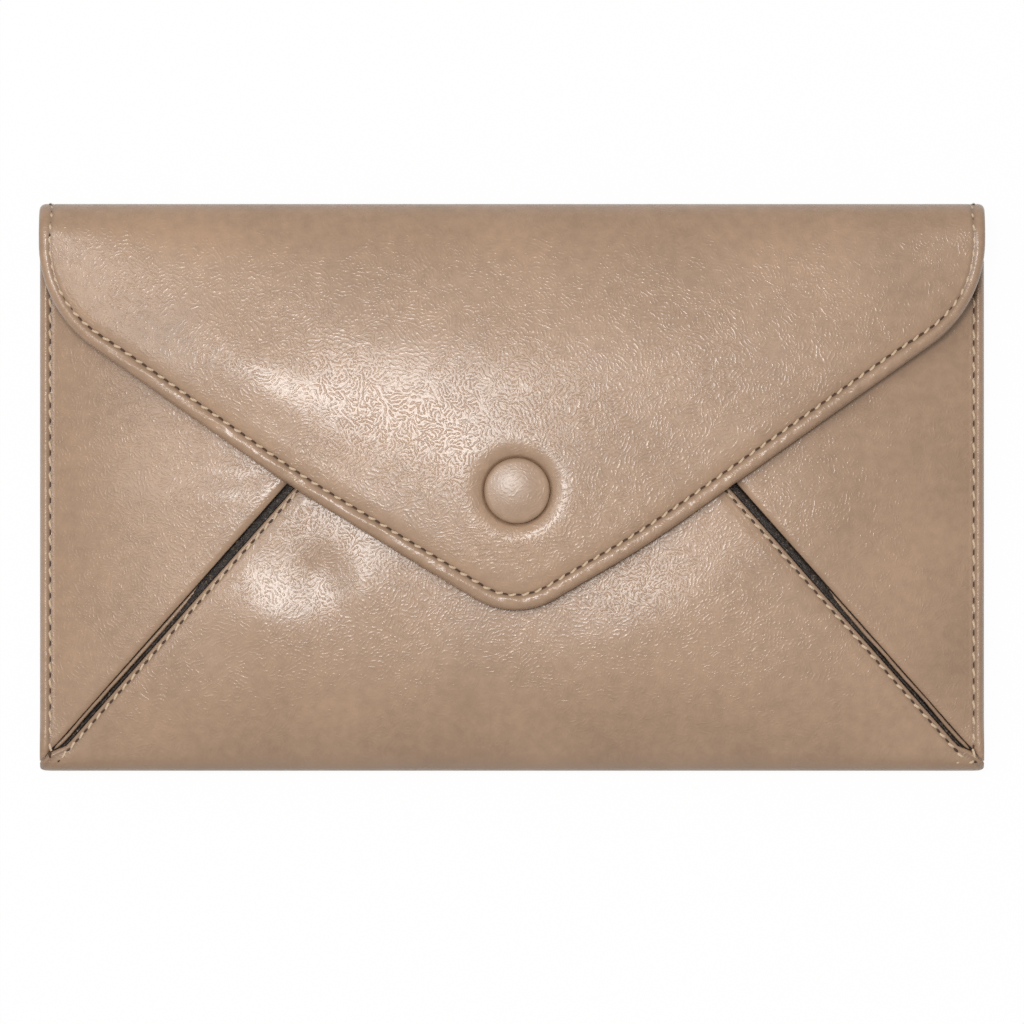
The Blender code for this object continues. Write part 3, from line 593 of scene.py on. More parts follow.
def turned_shape(name, profile, centre, material, steps=96):
    """A shape turned about an upright axis from (radius, height) points, underside first."""
    verts, polygons, rows = [], [], []
    for radius, height in profile:
        places = range(1) if radius < 1e-6 else range(steps)
        rows.append([len(verts) + k for k in places])
        for k in places:
            a = math.tau * k / steps
            x, y = centre[0] + radius * math.cos(a), centre[1] + radius * math.sin(a)
            verts.append((x, y, height))
    for one, two in zip(rows, rows[1:]):
        for k in range(steps):
            n = (k + 1) % steps
            quad = [one[k % len(one)], one[n % len(one)], two[n % len(two)], two[k % len(two)]]
            polygons.append(tuple(q for i, q in enumerate(quad) if q != quad[i - 1]))
    return make_piece(name, np.array(verts) * MM, polygons, material, sharp=35)


# Finishes ----------------------------------------------------------------------------------


class Nodes:
    """Small helper that adds and joins the nodes of one tree."""

    def __init__(self, tree):
        self.tree = tree

    def feed(self, value, socket):
        if isinstance(value, bpy.types.NodeSocket):
            self.tree.links.new(value, socket)
        else:
            socket.default_value = value

    def add(self, kind, values=(), **settings):
        """A node with its settings; values are pairs of an input and what it gets."""
        node = self.tree.nodes.new(kind)
        for key, value in settings.items():
            setattr(node, key, value)
        for key, value in values:
            self.feed(value, node.inputs[key])
        return node

    def put(self, kind, values=(), **settings):
        """First output of a new node."""
        return self.add(kind, values, **settings).outputs[0]

    def math(self, operation, *values):
        return self.put("ShaderNodeMath", enumerate(values), operation=operation)

    def times(self, one, two):
        return self.math("MULTIPLY", one, two)

    def times_add(self, one, two, plus):
        return self.math("MULTIPLY_ADD", one, two, plus)


class Finish(Nodes):
    """A material on the main shader; places and pattern sizes are in millimetres."""

    def __init__(self, name):
        self.material = bpy.data.materials.new(name)
        self.material.use_nodes = True
        super().__init__(self.material.node_tree)
        self.tree.nodes.clear()
        self.shader = self.add("ShaderNodeBsdfPrincipled")
        self.out = self.add("ShaderNodeOutputMaterial", [(0, self.shader.outputs[0])])

    def set(self, **values):
        for key, value in values.items():
            self.feed(value, self.shader.inputs[key.replace("_", " ")])

    def in_mm(self, socket):
        return self.put("ShaderNodeVectorMath", [(0, socket), ("Scale", 1 / MM)], operation="SCALE")

    def flat(self):
        """The piece's own flat-cut coordinates."""
        return self.in_mm(self.put("ShaderNodeUVMap", uv_map="flat_cut"))

    def place(self):
        return self.in_mm(self.add("ShaderNodeTexCoord").outputs["Object"])

    def parts(self, where):
        return self.add("ShaderNodeSeparateXYZ", [(0, where)]).outputs[:2]

    def noise(self, where, scale, detail=2.0, rough=0.5, output="Fac"):
        values = [("Vector", where), ("Scale", scale), ("Detail", detail), ("Roughness", rough)]
        return self.add("ShaderNodeTexNoise", values).outputs[output]

    def warp(self, where, scale, amount):
        """The place moved about by soft noise."""
        colour = self.noise(where, scale, 1.0, output="Color")
        values = [(0, colour), (1, (0.5, 0.5, 0.5))]
        lean = self.put("ShaderNodeVectorMath", values, operation="SUBTRACT")
        values = [(0, lean), (1, (amount, amount, amount)), (2, where)]
        return self.put("ShaderNodeVectorMath", values, operation="MULTIPLY_ADD")

    def ramp(self, value, low, high, to_low=0.0, to_high=1.0, kind="SMOOTHSTEP"):
        labels = ("Value", "From Min", "From Max", "To Min", "To Max")
        values = zip(labels, (value, low, high, to_low, to_high))
        return self.put("ShaderNodeMapRange", values, interpolation_type=kind)

    def bell(self, value, centre, width):
        off = self.math("DIVIDE", self.math("SUBTRACT", value, centre), width)
        return self.math("POWER", 2.718, self.times(self.times(off, off), -1.0))

    def mix(self, factor, one, two):
        values = [(0, factor), (6, one), (7, two)]
        return self.add("ShaderNodeMix", values, data_type="RGBA").outputs[2]

    def bump(self, height, distance, strength=1.0):
        values = [("Height", height), ("Distance", distance), ("Strength", strength)]
        return self.put("ShaderNodeBump", values)

    def attribute(self, name):
        return self.add("ShaderNodeAttribute", attribute_name=name).outputs["Fac"]


def linear(colour):
    """Linear colour from 0-255 display values."""
    made = []
    for value in colour:
        c = value / 255
        made.append(c / 12.92 if c <= 0.04045 else ((c + 0.055) / 1.055) ** 2.4)
    return (*made, 1.0)


def shade(colour, factor=1.0):
    """A colour made lighter or darker, with its alpha."""
    return (*[min(1.0, c * factor) for c in colour[:3]], 1.0)


def crests(f, where, curled):
    """Fine crests that swirl about, fainter in patches."""
    values = [("Vector", curled), ("Scale", 0.50), ("Frequency", 2.35), ("Anisotropy", 0.6)]
    crinkle = f.add("ShaderNodeTexGabor", values, gabor_type="2D")
    turn = next(s for s in crinkle.inputs if s.name == "Orientation" and s.type == "VALUE")
    f.feed(f.times(f.noise(where, 0.14, 1.0), 16.0), turn)
    crest = f.ramp(crinkle.outputs["Value"], 0.45, 0.78)
    return f.times(crest, f.ramp(f.noise(where, 0.055, 2.0), 0.36, 0.60, 0.45, 1.0))


def pores(f, where):
    """Small round pores in some places."""
    pore = f.add("ShaderNodeTexVoronoi", [("Vector", where), ("Scale", 1.25)])
    dot = f.ramp(pore.outputs["Distance"], 0.06, 0.20, 1.0, 0.0)
    return f.times(dot, f.ramp(f.noise(where, 0.3, 1.0), 0.52, 0.68))


def snap_creases(f, where):
    """A few level creases in the leather below the snap."""
    x, y = f.parts(f.warp(where, 0.22, 3.0))
    waves = f.math("SINE", f.times(y, 6.2))
    keep = f.times(f.bell(x, -2.0, 12.0), f.bell(y, -12.0, 2.6))
    keep = f.times(keep, f.ramp(f.noise(where, 0.35, 1.0), 0.42, 0.58))
    return f.times(f.ramp(waves, 0.2, 0.95), keep)


def leather_finish(name, settings, on_cut=True, creased=True, tone=1.0, relief=1.0, gloss=0.21):
    """Glazed crinkled leather: swirling fine crests lightened as a painted highlight, mottled tan,
    and painted shade along the stitch lines and at other marked points.
    """
    f = Finish(name)
    where = f.flat() if on_cut else f.place()
    tan = settings.leather_colour
    cloud = f.noise(where, 0.035, 3.0, 0.55)
    mottle = f.noise(where, 0.42, 3.0, 0.6)
    blend = f.ramp(f.times_add(mottle, 0.45, f.times(cloud, 0.55)), 0.36, 0.64, kind="LINEAR")
    colour = f.mix(blend, shade(tan, 0.84 * tone), shade(tan, 1.10 * tone))
    curled = f.warp(f.warp(where, 0.6, 0.7), 0.16, 2.4)
    crest = crests(f, where, curled)
    fine = f.noise(curled, 1.9, 2.0, 0.6)
    dot = pores(f, where)
    colour = f.mix(f.times(dot, 0.35), colour, shade(tan, 0.62))
    # Painted highlight: the fine crests are made lighter than the leather around them.
    colour = f.mix(f.times(crest, 0.10), colour, shade(tan, 1.35))
    if on_cut:
        wear = f.ramp(f.attribute("edge_mm"), 0.0, 1.3, 1.0, 0.0)
        rub = f.times(wear, f.ramp(f.noise(where, 0.5, 3.0), 0.35, 0.7, 0.2, 0.8))
        colour = f.mix(f.times(rub, 0.30), colour, shade(tan, 0.74))
        # Painted shade from the piece's painted_shade values: along stitch lines, under the flap's
        # edge and round the cap; the same values also darken the lower fold.
        painted_shade = f.times(f.attribute("painted_shade"), f.ramp(mottle, 0.3, 0.7, 0.35, 0.7))
        colour = f.mix(painted_shade, colour, shade(tan, 0.52))
    height = f.times_add(dot, -0.25, f.times_add(fine, 0.30, crest))
    if creased and on_cut:
        height = f.times_add(snap_creases(f, where), 1.6, height)
    normal = f.bump(height, settings.crinkle_height * relief)
    least, most = settings.roughness - 0.04, settings.roughness + 0.05
    rough = f.ramp(f.noise(where, 0.2, 2.0), 0.3, 0.7, least, most, "LINEAR")
    f.set(Base_Color=colour, Roughness=rough, Normal=normal, Coat_Normal=normal)
    f.set(Coat_Weight=settings.glaze, Coat_Roughness=gloss, Coat_IOR=1.5, Specular_IOR_Level=0.32)
    return f.material


def cloth_finish(name, colour, thread=0.42, sheen=0.15):
    """Woven lining: crossing threads with a slight sheen."""
    f = Finish(name)
    where = f.flat()
    warp, weft = (f.math("SINE", f.times(way, math.pi / thread)) for way in f.parts(where))
    weave = f.times_add(f.times(warp, weft), 0.5, 0.5)
    slub = f.noise(where, 0.9, 3.0)
    low = shade(colour, 0.55)
    tint = f.mix(f.times_add(weave, 0.5, f.times(slub, 0.5)), low, shade(colour, 1.7))
    tint = f.mix(f.ramp(f.noise(where, 0.06, 3.0), 0.35, 0.7, 0.0, 0.25), tint, low)
    f.set(Base_Color=tint, Roughness=f.ramp(slub, 0.2, 0.8, 0.62, 0.85, "LINEAR"))
    f.set(Normal=f.bump(f.times_add(slub, 0.3, weave), 0.00008))
    f.set(Sheen_Weight=sheen, Sheen_Roughness=0.4)
    return f.material


def glazed_black(name):
    """The gusset's coated edge that shows in the seams: cracked and shiny."""
    f = Finish(name)
    where = f.flat()
    crumple = f.noise(f.warp(where, 0.8, 0.8), 1.6, 4.0, 0.7)
    fleck = f.ramp(f.noise(where, 1.3, 2.0), 0.60, 0.70)
    tint = f.mix(crumple, linear((22, 19, 18)), linear((74, 66, 60)))
    tint = f.mix(f.times(fleck, 0.55), tint, linear((150, 126, 104)))
    f.set(Base_Color=tint, Roughness=f.ramp(crumple, 0.3, 0.7, 0.22, 0.5, "LINEAR"))
    f.set(Normal=f.bump(crumple, 0.0005))
    return f.material


def metal_finish(name, colour):
    """Satin plated brass with fine turning marks and dull spots."""
    f = Finish(name)
    where = f.place()
    marks = f.noise(where, 9.0, 3.0, 0.7)
    dull = f.noise(where, 0.9, 3.0)
    tint = f.mix(f.ramp(dull, 0.35, 0.7), shade(colour), shade(colour, 0.88))
    f.set(Base_Color=tint, Roughness=f.ramp(dull, 0.3, 0.7, 0.54, 0.60, "LINEAR"))
    f.set(Normal=f.bump(marks, 0.00001, strength=0.6), Metallic=1.0)
    return f.material


def thread_finish(name, colour):
    """Twisted waxed thread."""
    f = Finish(name)
    where = f.place()
    x, y = f.parts(where)
    twist = f.math("SINE", f.times(f.math("ADD", x, f.times(y, 1.3)), 19.0))
    ply = f.times_add(twist, 0.5, 0.5)
    # Painted shade in the grooves between the twisted plies, lighter on their tops, with some
    # random tone.
    painted_ply_shade = f.times_add(ply, 0.6, f.times(f.noise(where, 3.0, 2.0), 0.4))
    tint = f.mix(painted_ply_shade, shade(colour, 0.66), shade(colour))
    f.set(Base_Color=tint, Roughness=0.55, Normal=f.bump(ply, 0.00006))
    return f.material


def plain_finish(name, pattern, colours, rough, on_cut=True):
    """Two colours blended by noise, for the dark painted shade of the awl holes and for the fibre
    board.
    """
    f = Finish(name)
    grain = f.noise(f.flat() if on_cut else f.place(), *pattern)
    f.set(Base_Color=f.mix(grain, *[linear(colour) for colour in colours]))
    f.set(Roughness=f.ramp(grain, *rough, "LINEAR"), Normal=f.bump(grain, 0.0001))
    return f.material


FINISHES = {}


def finish(name):
    """The wallet's finishes, each made once."""
    if not FINISHES:
        leather = bpy.context.scene.wallet_leather
        black = tuple(leather.lining_colour)
        FINISHES.update(
            leather=leather_finish("tan_leather", leather),
            # Painted shade: the cord deep in the slit is a darker copy of the tan leather.
            cord=leather_finish("cord_leather", leather, creased=False, tone=0.86),
            cap=leather_finish(
                "button_leather", leather, on_cut=False, tone=0.97, relief=0.4, gloss=0.25,
            ),
            lining=cloth_finish("black_lining", black),
            pocket=cloth_finish("pocket_cloth", black, thread=0.34, sheen=0.25),
            tape=cloth_finish("zip_tape", [c * 1.5 for c in black], thread=0.55),
            glazed=glazed_black("glazed_gusset"),
            brass=metal_finish("plated_brass", leather.metal_colour),
            thread=thread_finish("cream_thread", leather.thread_colour),
            # Painted shade: dark shapes set in the awl holes stand for the holes' shadow.
            pit=plain_finish(
                "awl_hole", (2.0, 2.0), ((42, 28, 19), (92, 66, 47)), (0.3, 0.7, 0.6, 0.9), False,
            ),
            board=plain_finish(
                "fibre_board", (1.4, 5.0, 0.7), ((150, 140, 122), (196, 188, 170)),
                (0.2, 0.8, 0.8, 0.95),
            ),
        )
    return FINISHES[name]


# Settings ----------------------------------------------------------------------------------


class WalletLeather(bpy.types.PropertyGroup):
    leather_colour: bpy.props.FloatVectorProperty(
        name="Leather", description="Body colour of the leather", subtype="COLOR",
        size=3, min=0, max=1, default=linear((170, 139, 113))[:3],
    )
    lining_colour: bpy.props.FloatVectorProperty(
        name="Lining", description="Colour of the lining cloth", subtype="COLOR",
        size=3, min=0, max=1, default=(0.012, 0.011, 0.011),
    )
    thread_colour: bpy.props.FloatVectorProperty(
        name="Thread", description="Colour of the stitching thread", subtype="COLOR",
        size=3, min=0, max=1, default=linear((240, 212, 180))[:3],
    )
    metal_colour: bpy.props.FloatVectorProperty(
        name="Fittings", description="Colour of the snap and the zip", subtype="COLOR",
        size=3, min=0, max=1, default=(0.50, 0.36, 0.18),
    )
    roughness: bpy.props.FloatProperty(
        name="Roughness", description="Roughness of the leather's face",
        min=0, max=1, default=0.44, subtype="FACTOR",
    )
    glaze: bpy.props.FloatProperty(
        name="Glaze", description="Weight of the clear dressing over the leather",
        min=0, max=1, default=0.5, subtype="FACTOR",
    )
    crinkle_height: bpy.props.FloatProperty(
        name="Crinkle", description="Height of the leather's fine crests",
        min=0, max=0.001, default=0.00005, unit="LENGTH",
    )


class WalletStitching(bpy.types.PropertyGroup):
    pitch: bpy.props.FloatProperty(
        name="Pitch", description="Length of one stitch with its hole",
        min=0.001, max=0.01, default=0.0027, unit="LENGTH",
    )
    thread_length: bpy.props.FloatProperty(
        name="Thread length", description="Length of thread that shows in one stitch",
        min=0.0005, max=0.008, default=0.00135, unit="LENGTH",
    )
    thread_radius: bpy.props.FloatProperty(
        name="Thread radius", description="Half the thickness of the thread",
        min=0.0001, max=0.001, default=0.00028, unit="LENGTH",
    )
    hole_length: bpy.props.FloatProperty(
        name="Hole length", description="Length of the hole between two stitches",
        min=0.0005, max=0.008, default=0.0014, unit="LENGTH",
    )
    slant: bpy.props.FloatProperty(
        name="Slant", description="How far each stitch lies across its row",
        min=-1.5, max=1.5, default=math.radians(15), subtype="ANGLE",
    )


class WalletHem(bpy.types.PropertyGroup):
    point_width: bpy.props.FloatProperty(
        name="Point hem", description="Width of the rolled hem along the flap's diagonals",
        min=0.001, max=0.008, default=0.0030, unit="LENGTH",
    )
    side_width: bpy.props.FloatProperty(
        name="Side hem", description="Width of the hem along the wallet's sides",
        min=0.001, max=0.008, default=0.0022, unit="LENGTH",
    )
    crown: bpy.props.FloatProperty(
        name="Crown", description="Height of the rolled hem above its stitch line",
        min=0.0, max=0.003, default=0.00065, unit="LENGTH",
    )


class WalletZip(bpy.types.PropertyGroup):
    pitch: bpy.props.FloatProperty(
        name="Tooth pitch", description="From one tooth of a row to the next",
        min=0.0015, max=0.01, default=0.002, unit="LENGTH",
    )


class WalletStage(bpy.types.PropertyGroup):
    key_power: bpy.props.FloatProperty(
        name="Key", description="Power of the upper left softbox",
        min=0, max=500, default=3.8, unit="POWER",
    )
    fill_power: bpy.props.FloatProperty(
        name="Fill", description="Power of the left softbox",
        min=0, max=500, default=2.2, unit="POWER",
    )
    world_strength: bpy.props.FloatProperty(
        name="Room", description="Strength of the even room light", min=0, max=5, default=0.50,
    )


# Pieces ------------------------------------------------------------------------------------

# Bodies that a piece spans across a joint, with the start and the end of its bend; the bend is not
# applied
FLAP_BLEND = (
    "spine", "flap", (0, HALF_H * MM, TOP_R * MM), (0, TOP_Y * MM, (FLAP_RIM - 1.0) * MM),
)
BACK_BLEND = ("body", "spine", (0, TOP_Y * MM, 0.001), (0, HALF_H * MM, TOP_R * MM))
FRONT_BLEND = ("body", "front", (0, -0.0565, 0.0045), (0, -0.0520, 0.0070))


def bend(piece, ends):
    """Bakes a piece's transform into its mesh; it is not bent across the joint."""
    body_a, body_b, start, end = ends
    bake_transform(piece)
    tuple(start)
    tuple(end)


def stand_for(piece, carrier, *nodes):
    """Puts a piece in the place of CAD nodes and hides them: on its body, or for a joint only with
    its transform baked in.
    """
    if isinstance(carrier, str):
        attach(piece, carrier)
    else:
        bend(piece, carrier)
    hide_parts(*nodes)


def cloth_depths(top, thick=CLOTH, edges=("edge",)):
    """Depths of a flat layer whose free edges are slightly rounded."""
    def depths(x, v, gaps):
        drop = roll(np.min([gaps[kind] for kind in edges], 0), CORNER, thick / 2)
        return top + drop, top + thick - drop
    return depths


def hem_offset(v):
    """Distance of the flap's stitch line from its edge."""
    hem = bpy.context.scene.wallet_hem
    side, point = hem.side_width / MM, hem.point_width / MM
    return side + (point - side) * smooth(-v, -41.0, -24.0) + 0.4 * smooth(v, 50.0, 57.0)


def ripple(x, v):
    """Small dents along a turned edge, from -1 to 1."""
    return np.sin(1.9 * x + 1.1 * v) * np.sin(0.7 * x - 1.6 * v + 2) * np.sin(0.33 * x + 0.21 * v)


def hem_swell(x, v, gap, stitch):
    """Height of a rolled hem over the sheet: convex to the stitch line, then a fine groove."""
    crown = bpy.context.scene.wallet_hem.crown / MM
    t = np.clip(gap / stitch, 0, 1)
    full = (0.3 + 0.7 * smooth(-v, -44.0, -30.0)) * (1 - smooth(v, 46.0, 54.0))
    round_off = np.sqrt(np.clip(1 - (2 * t - 1) ** 2, 0, 1)) * (gap < stitch)
    bow = (crown + 0.16 * ripple(x, v)) * round_off
    rise = 0.30 * smooth(gap, stitch + 0.3, stitch + 2.6) - 0.30
    return full * (bow + rise) - 0.25 * bell(gap - stitch, 0.42) * (0.4 + 0.6 * full)


def painted_stitch_shade(gap, stitch):
    """Painted shade in the groove of a stitch line."""
    return bell(gap - stitch, 0.55)


def flap_depths(x, v, gaps):
    gap, half, stitch = gaps["hem"], FLAP_STACK / 2, hem_offset(v)
    upper = roll(gap, 1.5, half, 2.2) - hem_swell(x, v, gap, stitch)
    thick = FLAP_STACK - (FLAP_STACK - LEATHER) * smooth(gap, *TURNED_IN)
    lower = thick - roll(gap, 1.3, half, 2.2)
    upper = np.where(gap < ON_EDGE, half, upper)
    # Painted contact shadow: a thin dark ring where the leather meets the cap.
    ring = 2.0 * bell(from_snap(x, v) - CAP_R, 0.38)
    return upper, np.maximum(lower, upper + THINNEST), np.maximum(painted_stitch_shade(gap, stitch), ring)


def flap_sides(inset=0.0, kind="hem", top=FLAP_END):
    line = flap_line(inset)
    if inset:
        line[0][1] = line[-1][1] = top
    return [(kind, line), ("cut", [line[-1], line[0]])]


class WALLET_OT_flap(bpy.types.Operator):
    """Makes the flap's leather with its rolled hem, its board and its lining"""

    bl_idname = "wallet.flap"
    bl_label = "Flap"

    def execute(self, context):
        piece = shell(
            "flap_leather", flap_sides(), EDGE_RINGS, 0.8, 1.15, place_flap, flap_depths,
            finish("leather"), hole=(SNAP, NECK_R),
        )
        stand_for(piece, FLAP_BLEND, "flap_panel", "top_fold")
        edges = ("edge", "hole")
        board = shell(
            "flap_board", flap_sides(3.5, "edge", TOP_Y - 0.4), THIN_RINGS, 1.6, 2.4, place_flap,
            cloth_depths(BOARD_DEPTH, BOARD, edges), finish("board"), hole=(SNAP, WASHER_R),
        )
        stand_for(board, FLAP_BLEND, "flap_stiffener")
        lining = shell(
            "flap_lining_cloth", flap_sides(3.35, "edge", FLAP_END + 0.8), THIN_RINGS, 1.2, 1.9,
            place_flap, cloth_depths(FLAP_STACK - CLOTH, CLOTH, edges), finish("lining"),
            hole=(SNAP, WASHER_R),
        )
        stand_for(lining, FLAP_BLEND, "flap_lining", "top_fold_lining")
        return {"FINISHED"}


def back_sides(inset=0.0, kind="side", low=BACK_LOW, high=BACK_TOP):
    left, right = -HALF_W + inset, HALF_W - inset
    return [
        (kind, [(left, high), (left, low)]),
        ("cut", [(left, low), (right, low)]),
        (kind, [(right, low), (right, high)]),
        ("cut", [(right, high), (left, high)]),
    ]


def back_depths(x, v, gaps):
    gap, stitch = gaps["side"], hem_offset(v)
    high = smooth(v, TOP_Y - 2, TOP_Y + 5)
    low = smooth(-v, LOW_Y - 2, LOW_Y + 2)
    edge = BACK_EDGE + (FLAP_STACK - BACK_EDGE) * high + (LEATHER - BACK_EDGE) * low
    upper = roll(gap, 1.4, edge / 2, 2.2) + 0.16 * bell(gap - stitch, 0.4)
    inner = edge + (LEATHER - edge) * smooth(gap, *TURNED_IN)
    upper = np.where(gap < ON_EDGE, edge / 2, upper)
    return upper, inner - roll(gap, 1.2, edge / 2, 2.2), painted_stitch_shade(gap, stitch)


class WALLET_OT_back(bpy.types.Operator):
    """Makes the back's leather, which runs into both folds, its board and its lining"""

    bl_idname = "wallet.back"
    bl_label = "Back"

    def execute(self, context):
        back = shell(
            "back_leather", back_sides(), EDGE_RINGS, 0.9, 1.9, place_back, back_depths,
            finish("leather"), face_down=True,
        )
        stand_for(back, BACK_BLEND, "back_panel")
        board = shell(
            "back_board", back_sides(3.7, "edge", -LOW_Y + 0.4, TOP_Y - 0.4), [], 3.0, 4.0,
            place_back, cloth_depths(BOARD_DEPTH, BOARD), finish("board"), face_down=True,
        )
        stand_for(board, "body", "back_stiffener")
        lining = shell(
            "back_lining_cloth", back_sides(3.65, "edge", -LOW_Y + 0.35), THIN_RINGS, *LINING_MESH,
            place_back, cloth_depths(BACK_LINING_DEPTH), finish("lining"), face_down=True,
        )
        stand_for(lining, BACK_BLEND, "back_lining")
        return {"FINISHED"}


def side_sides():
    """Flat cut of the left side panel."""
    tip = seam_at_x(SIDE_EDGE, -HALF_W)
    head = seam_point(SIDE_EDGE, MOUTH_Y)
    corner = np.array([-HALF_W, MOUTH_Y])
    return [("side", [corner, tip]), ("seam", [tip, head]), ("mouth", [head, corner])]


def front_sides():
    """Flat cut of the front panel with the bottom fold it wraps."""
    rim_end = seam_at_x(SIDE_EDGE + 0.35, -HALF_W)
    left = [
        seam_point(FRONT_EDGE, MOUTH_Y), seam_at_x(FRONT_EDGE, -90.6),
        seam_at_x(SIDE_EDGE + 0.35, -94.0), rim_end,
    ]
    right = mirror_line(left)
    low = np.array([-HALF_W, FRONT_END])
    return [
        ("cut", [low, low * (-1, 1)]),
        ("side", [low * (-1, 1), right[0]]),
        ("seam", right),
        ("mouth", [right[-1], left[0]]),
        ("seam", left),
        ("side", [rim_end, low]),
    ]


def stitched_edge(gap, stitch, crown):
    """A turned edge that is stitched down: softly rounded with a shallow groove."""
    return crown * np.sin(np.pi * np.clip(gap / stitch, 0, 1)) - 0.16 * bell(gap - stitch, 0.35)


def pocket_painted_shade(x, v, gap, stitch):
    """Painted shade of the pocket along its stitch line and as a shadow under the closed flap's
    edge; also darker along the lower fold.
    """
    flap_edge = distance(np.stack([x, v], 1), flap_line()[::4])
    foot = 0.5 * smooth(-v, LOW_Y - 0.5, LOW_Y + 3.0)
    return np.max([painted_stitch_shade(gap, stitch), 0.9 * bell(flap_edge, 1.1), foot], 0)


def side_depths(x, v, gaps):
    side, seam, mouth = gaps["side"], gaps["seam"], gaps["mouth"]
    half = LEATHER / 2
    deep = SIDE_HALF + (half - SIDE_HALF) * smooth(-v, 46.0, 53.5)
    upper = np.max([roll(side, 1.5, deep, 2.3), roll(seam, 1.5, half), roll(mouth, 0.9, half)], 0)
    upper = upper - stitched_edge(side, SIDE_STITCH, 0.42)
    upper = upper - 0.12 * smooth(seam, 0, 1.2) * (1 - smooth(seam, 2.0, 6.0))
    wall = 2 * deep + (LEATHER - 2 * deep) * smooth(side, 3.1, 3.45)
    ends = (roll(seam, 0.7, half) + roll(mouth, 0.7, half)) * smooth(side, 0.5, 3.0)
    lower = wall - roll(side, 1.0, deep, 2.3) - ends
    return upper, np.maximum(lower, upper + THINNEST), pocket_painted_shade(x, v, side, SIDE_STITCH)


def front_depths(x, v, gaps):
    side, seam, mouth = gaps["side"], gaps["seam"], gaps["mouth"]
    half, stitch = LEATHER / 2, FRONT_STITCH - FRONT_EDGE
    upper = np.max([roll(side, 1.3, half), roll(seam, 0.7, half), roll(mouth, 0.9, half)], 0)
    upper = upper + 0.2 * bell(seam - stitch, 0.3) - 0.25 * smooth(seam, stitch, 3.5)
    ends = np.max([roll(side, 0.8, half), roll(seam, 0.6, half), roll(mouth, 0.7, half)], 0)
    lower = np.maximum(LEATHER - ends, upper + THINNEST)
    return upper, lower, pocket_painted_shade(x, v, seam, stitch)


class WALLET_OT_front(bpy.types.Operator):
    """Makes the front pocket: the centre panel with its bottom fold, the side panels and linings"""

    bl_idname = "wallet.front"
    bl_label = "Front pocket"

    def execute(self, context):
        leather = self.panel("front_leather", front_sides(), front_depths)
        stand_for(leather, FRONT_BLEND, "front_panel", "bottom_fold")
        aside, inner = 4.3, -HALF_W + 3.7
        corner, foot = (inner, MOUTH_Y), seam_at_x(-aside, inner)
        cut = [
            ("edge", [corner, foot]),
            ("edge", [foot, seam_point(-aside, MOUTH_Y), corner]),
        ]
        for side, turn in (("left", list), ("right", mirror_sides)):
            leather = self.panel(side + "_side_leather", turn(side_sides()), side_depths)
            stand_for(leather, "body", side + "_side_panel")
            lining = self.lining(side + "_side_lining_cloth", turn(cut))
            stand_for(lining, "body", side + "_side_lining")
        left = seam_point(aside, -LOW_Y + 1.0)
        top = seam_at_x(aside, min(seam_point(aside, MOUTH_Y)[0], -0.2))
        cut = [("edge", [left, left * (-1, 1), top * (-1, 1), top, left])]
        stand_for(self.lining("front_lining_cloth", cut), "front", "front_lining")
        return {"FINISHED"}

    def panel(self, name, sides, depths):
        rows = EDGE_RINGS, *LEATHER_MESH
        return shell(name, sides, *rows, place_front, depths, finish("leather"))

    def lining(self, name, sides):
        rows, depths = (THIN_RINGS, *LINING_MESH), cloth_depths(LEATHER + CLOTH)
        return shell(name, sides, *rows, place_front, depths, finish("lining"))


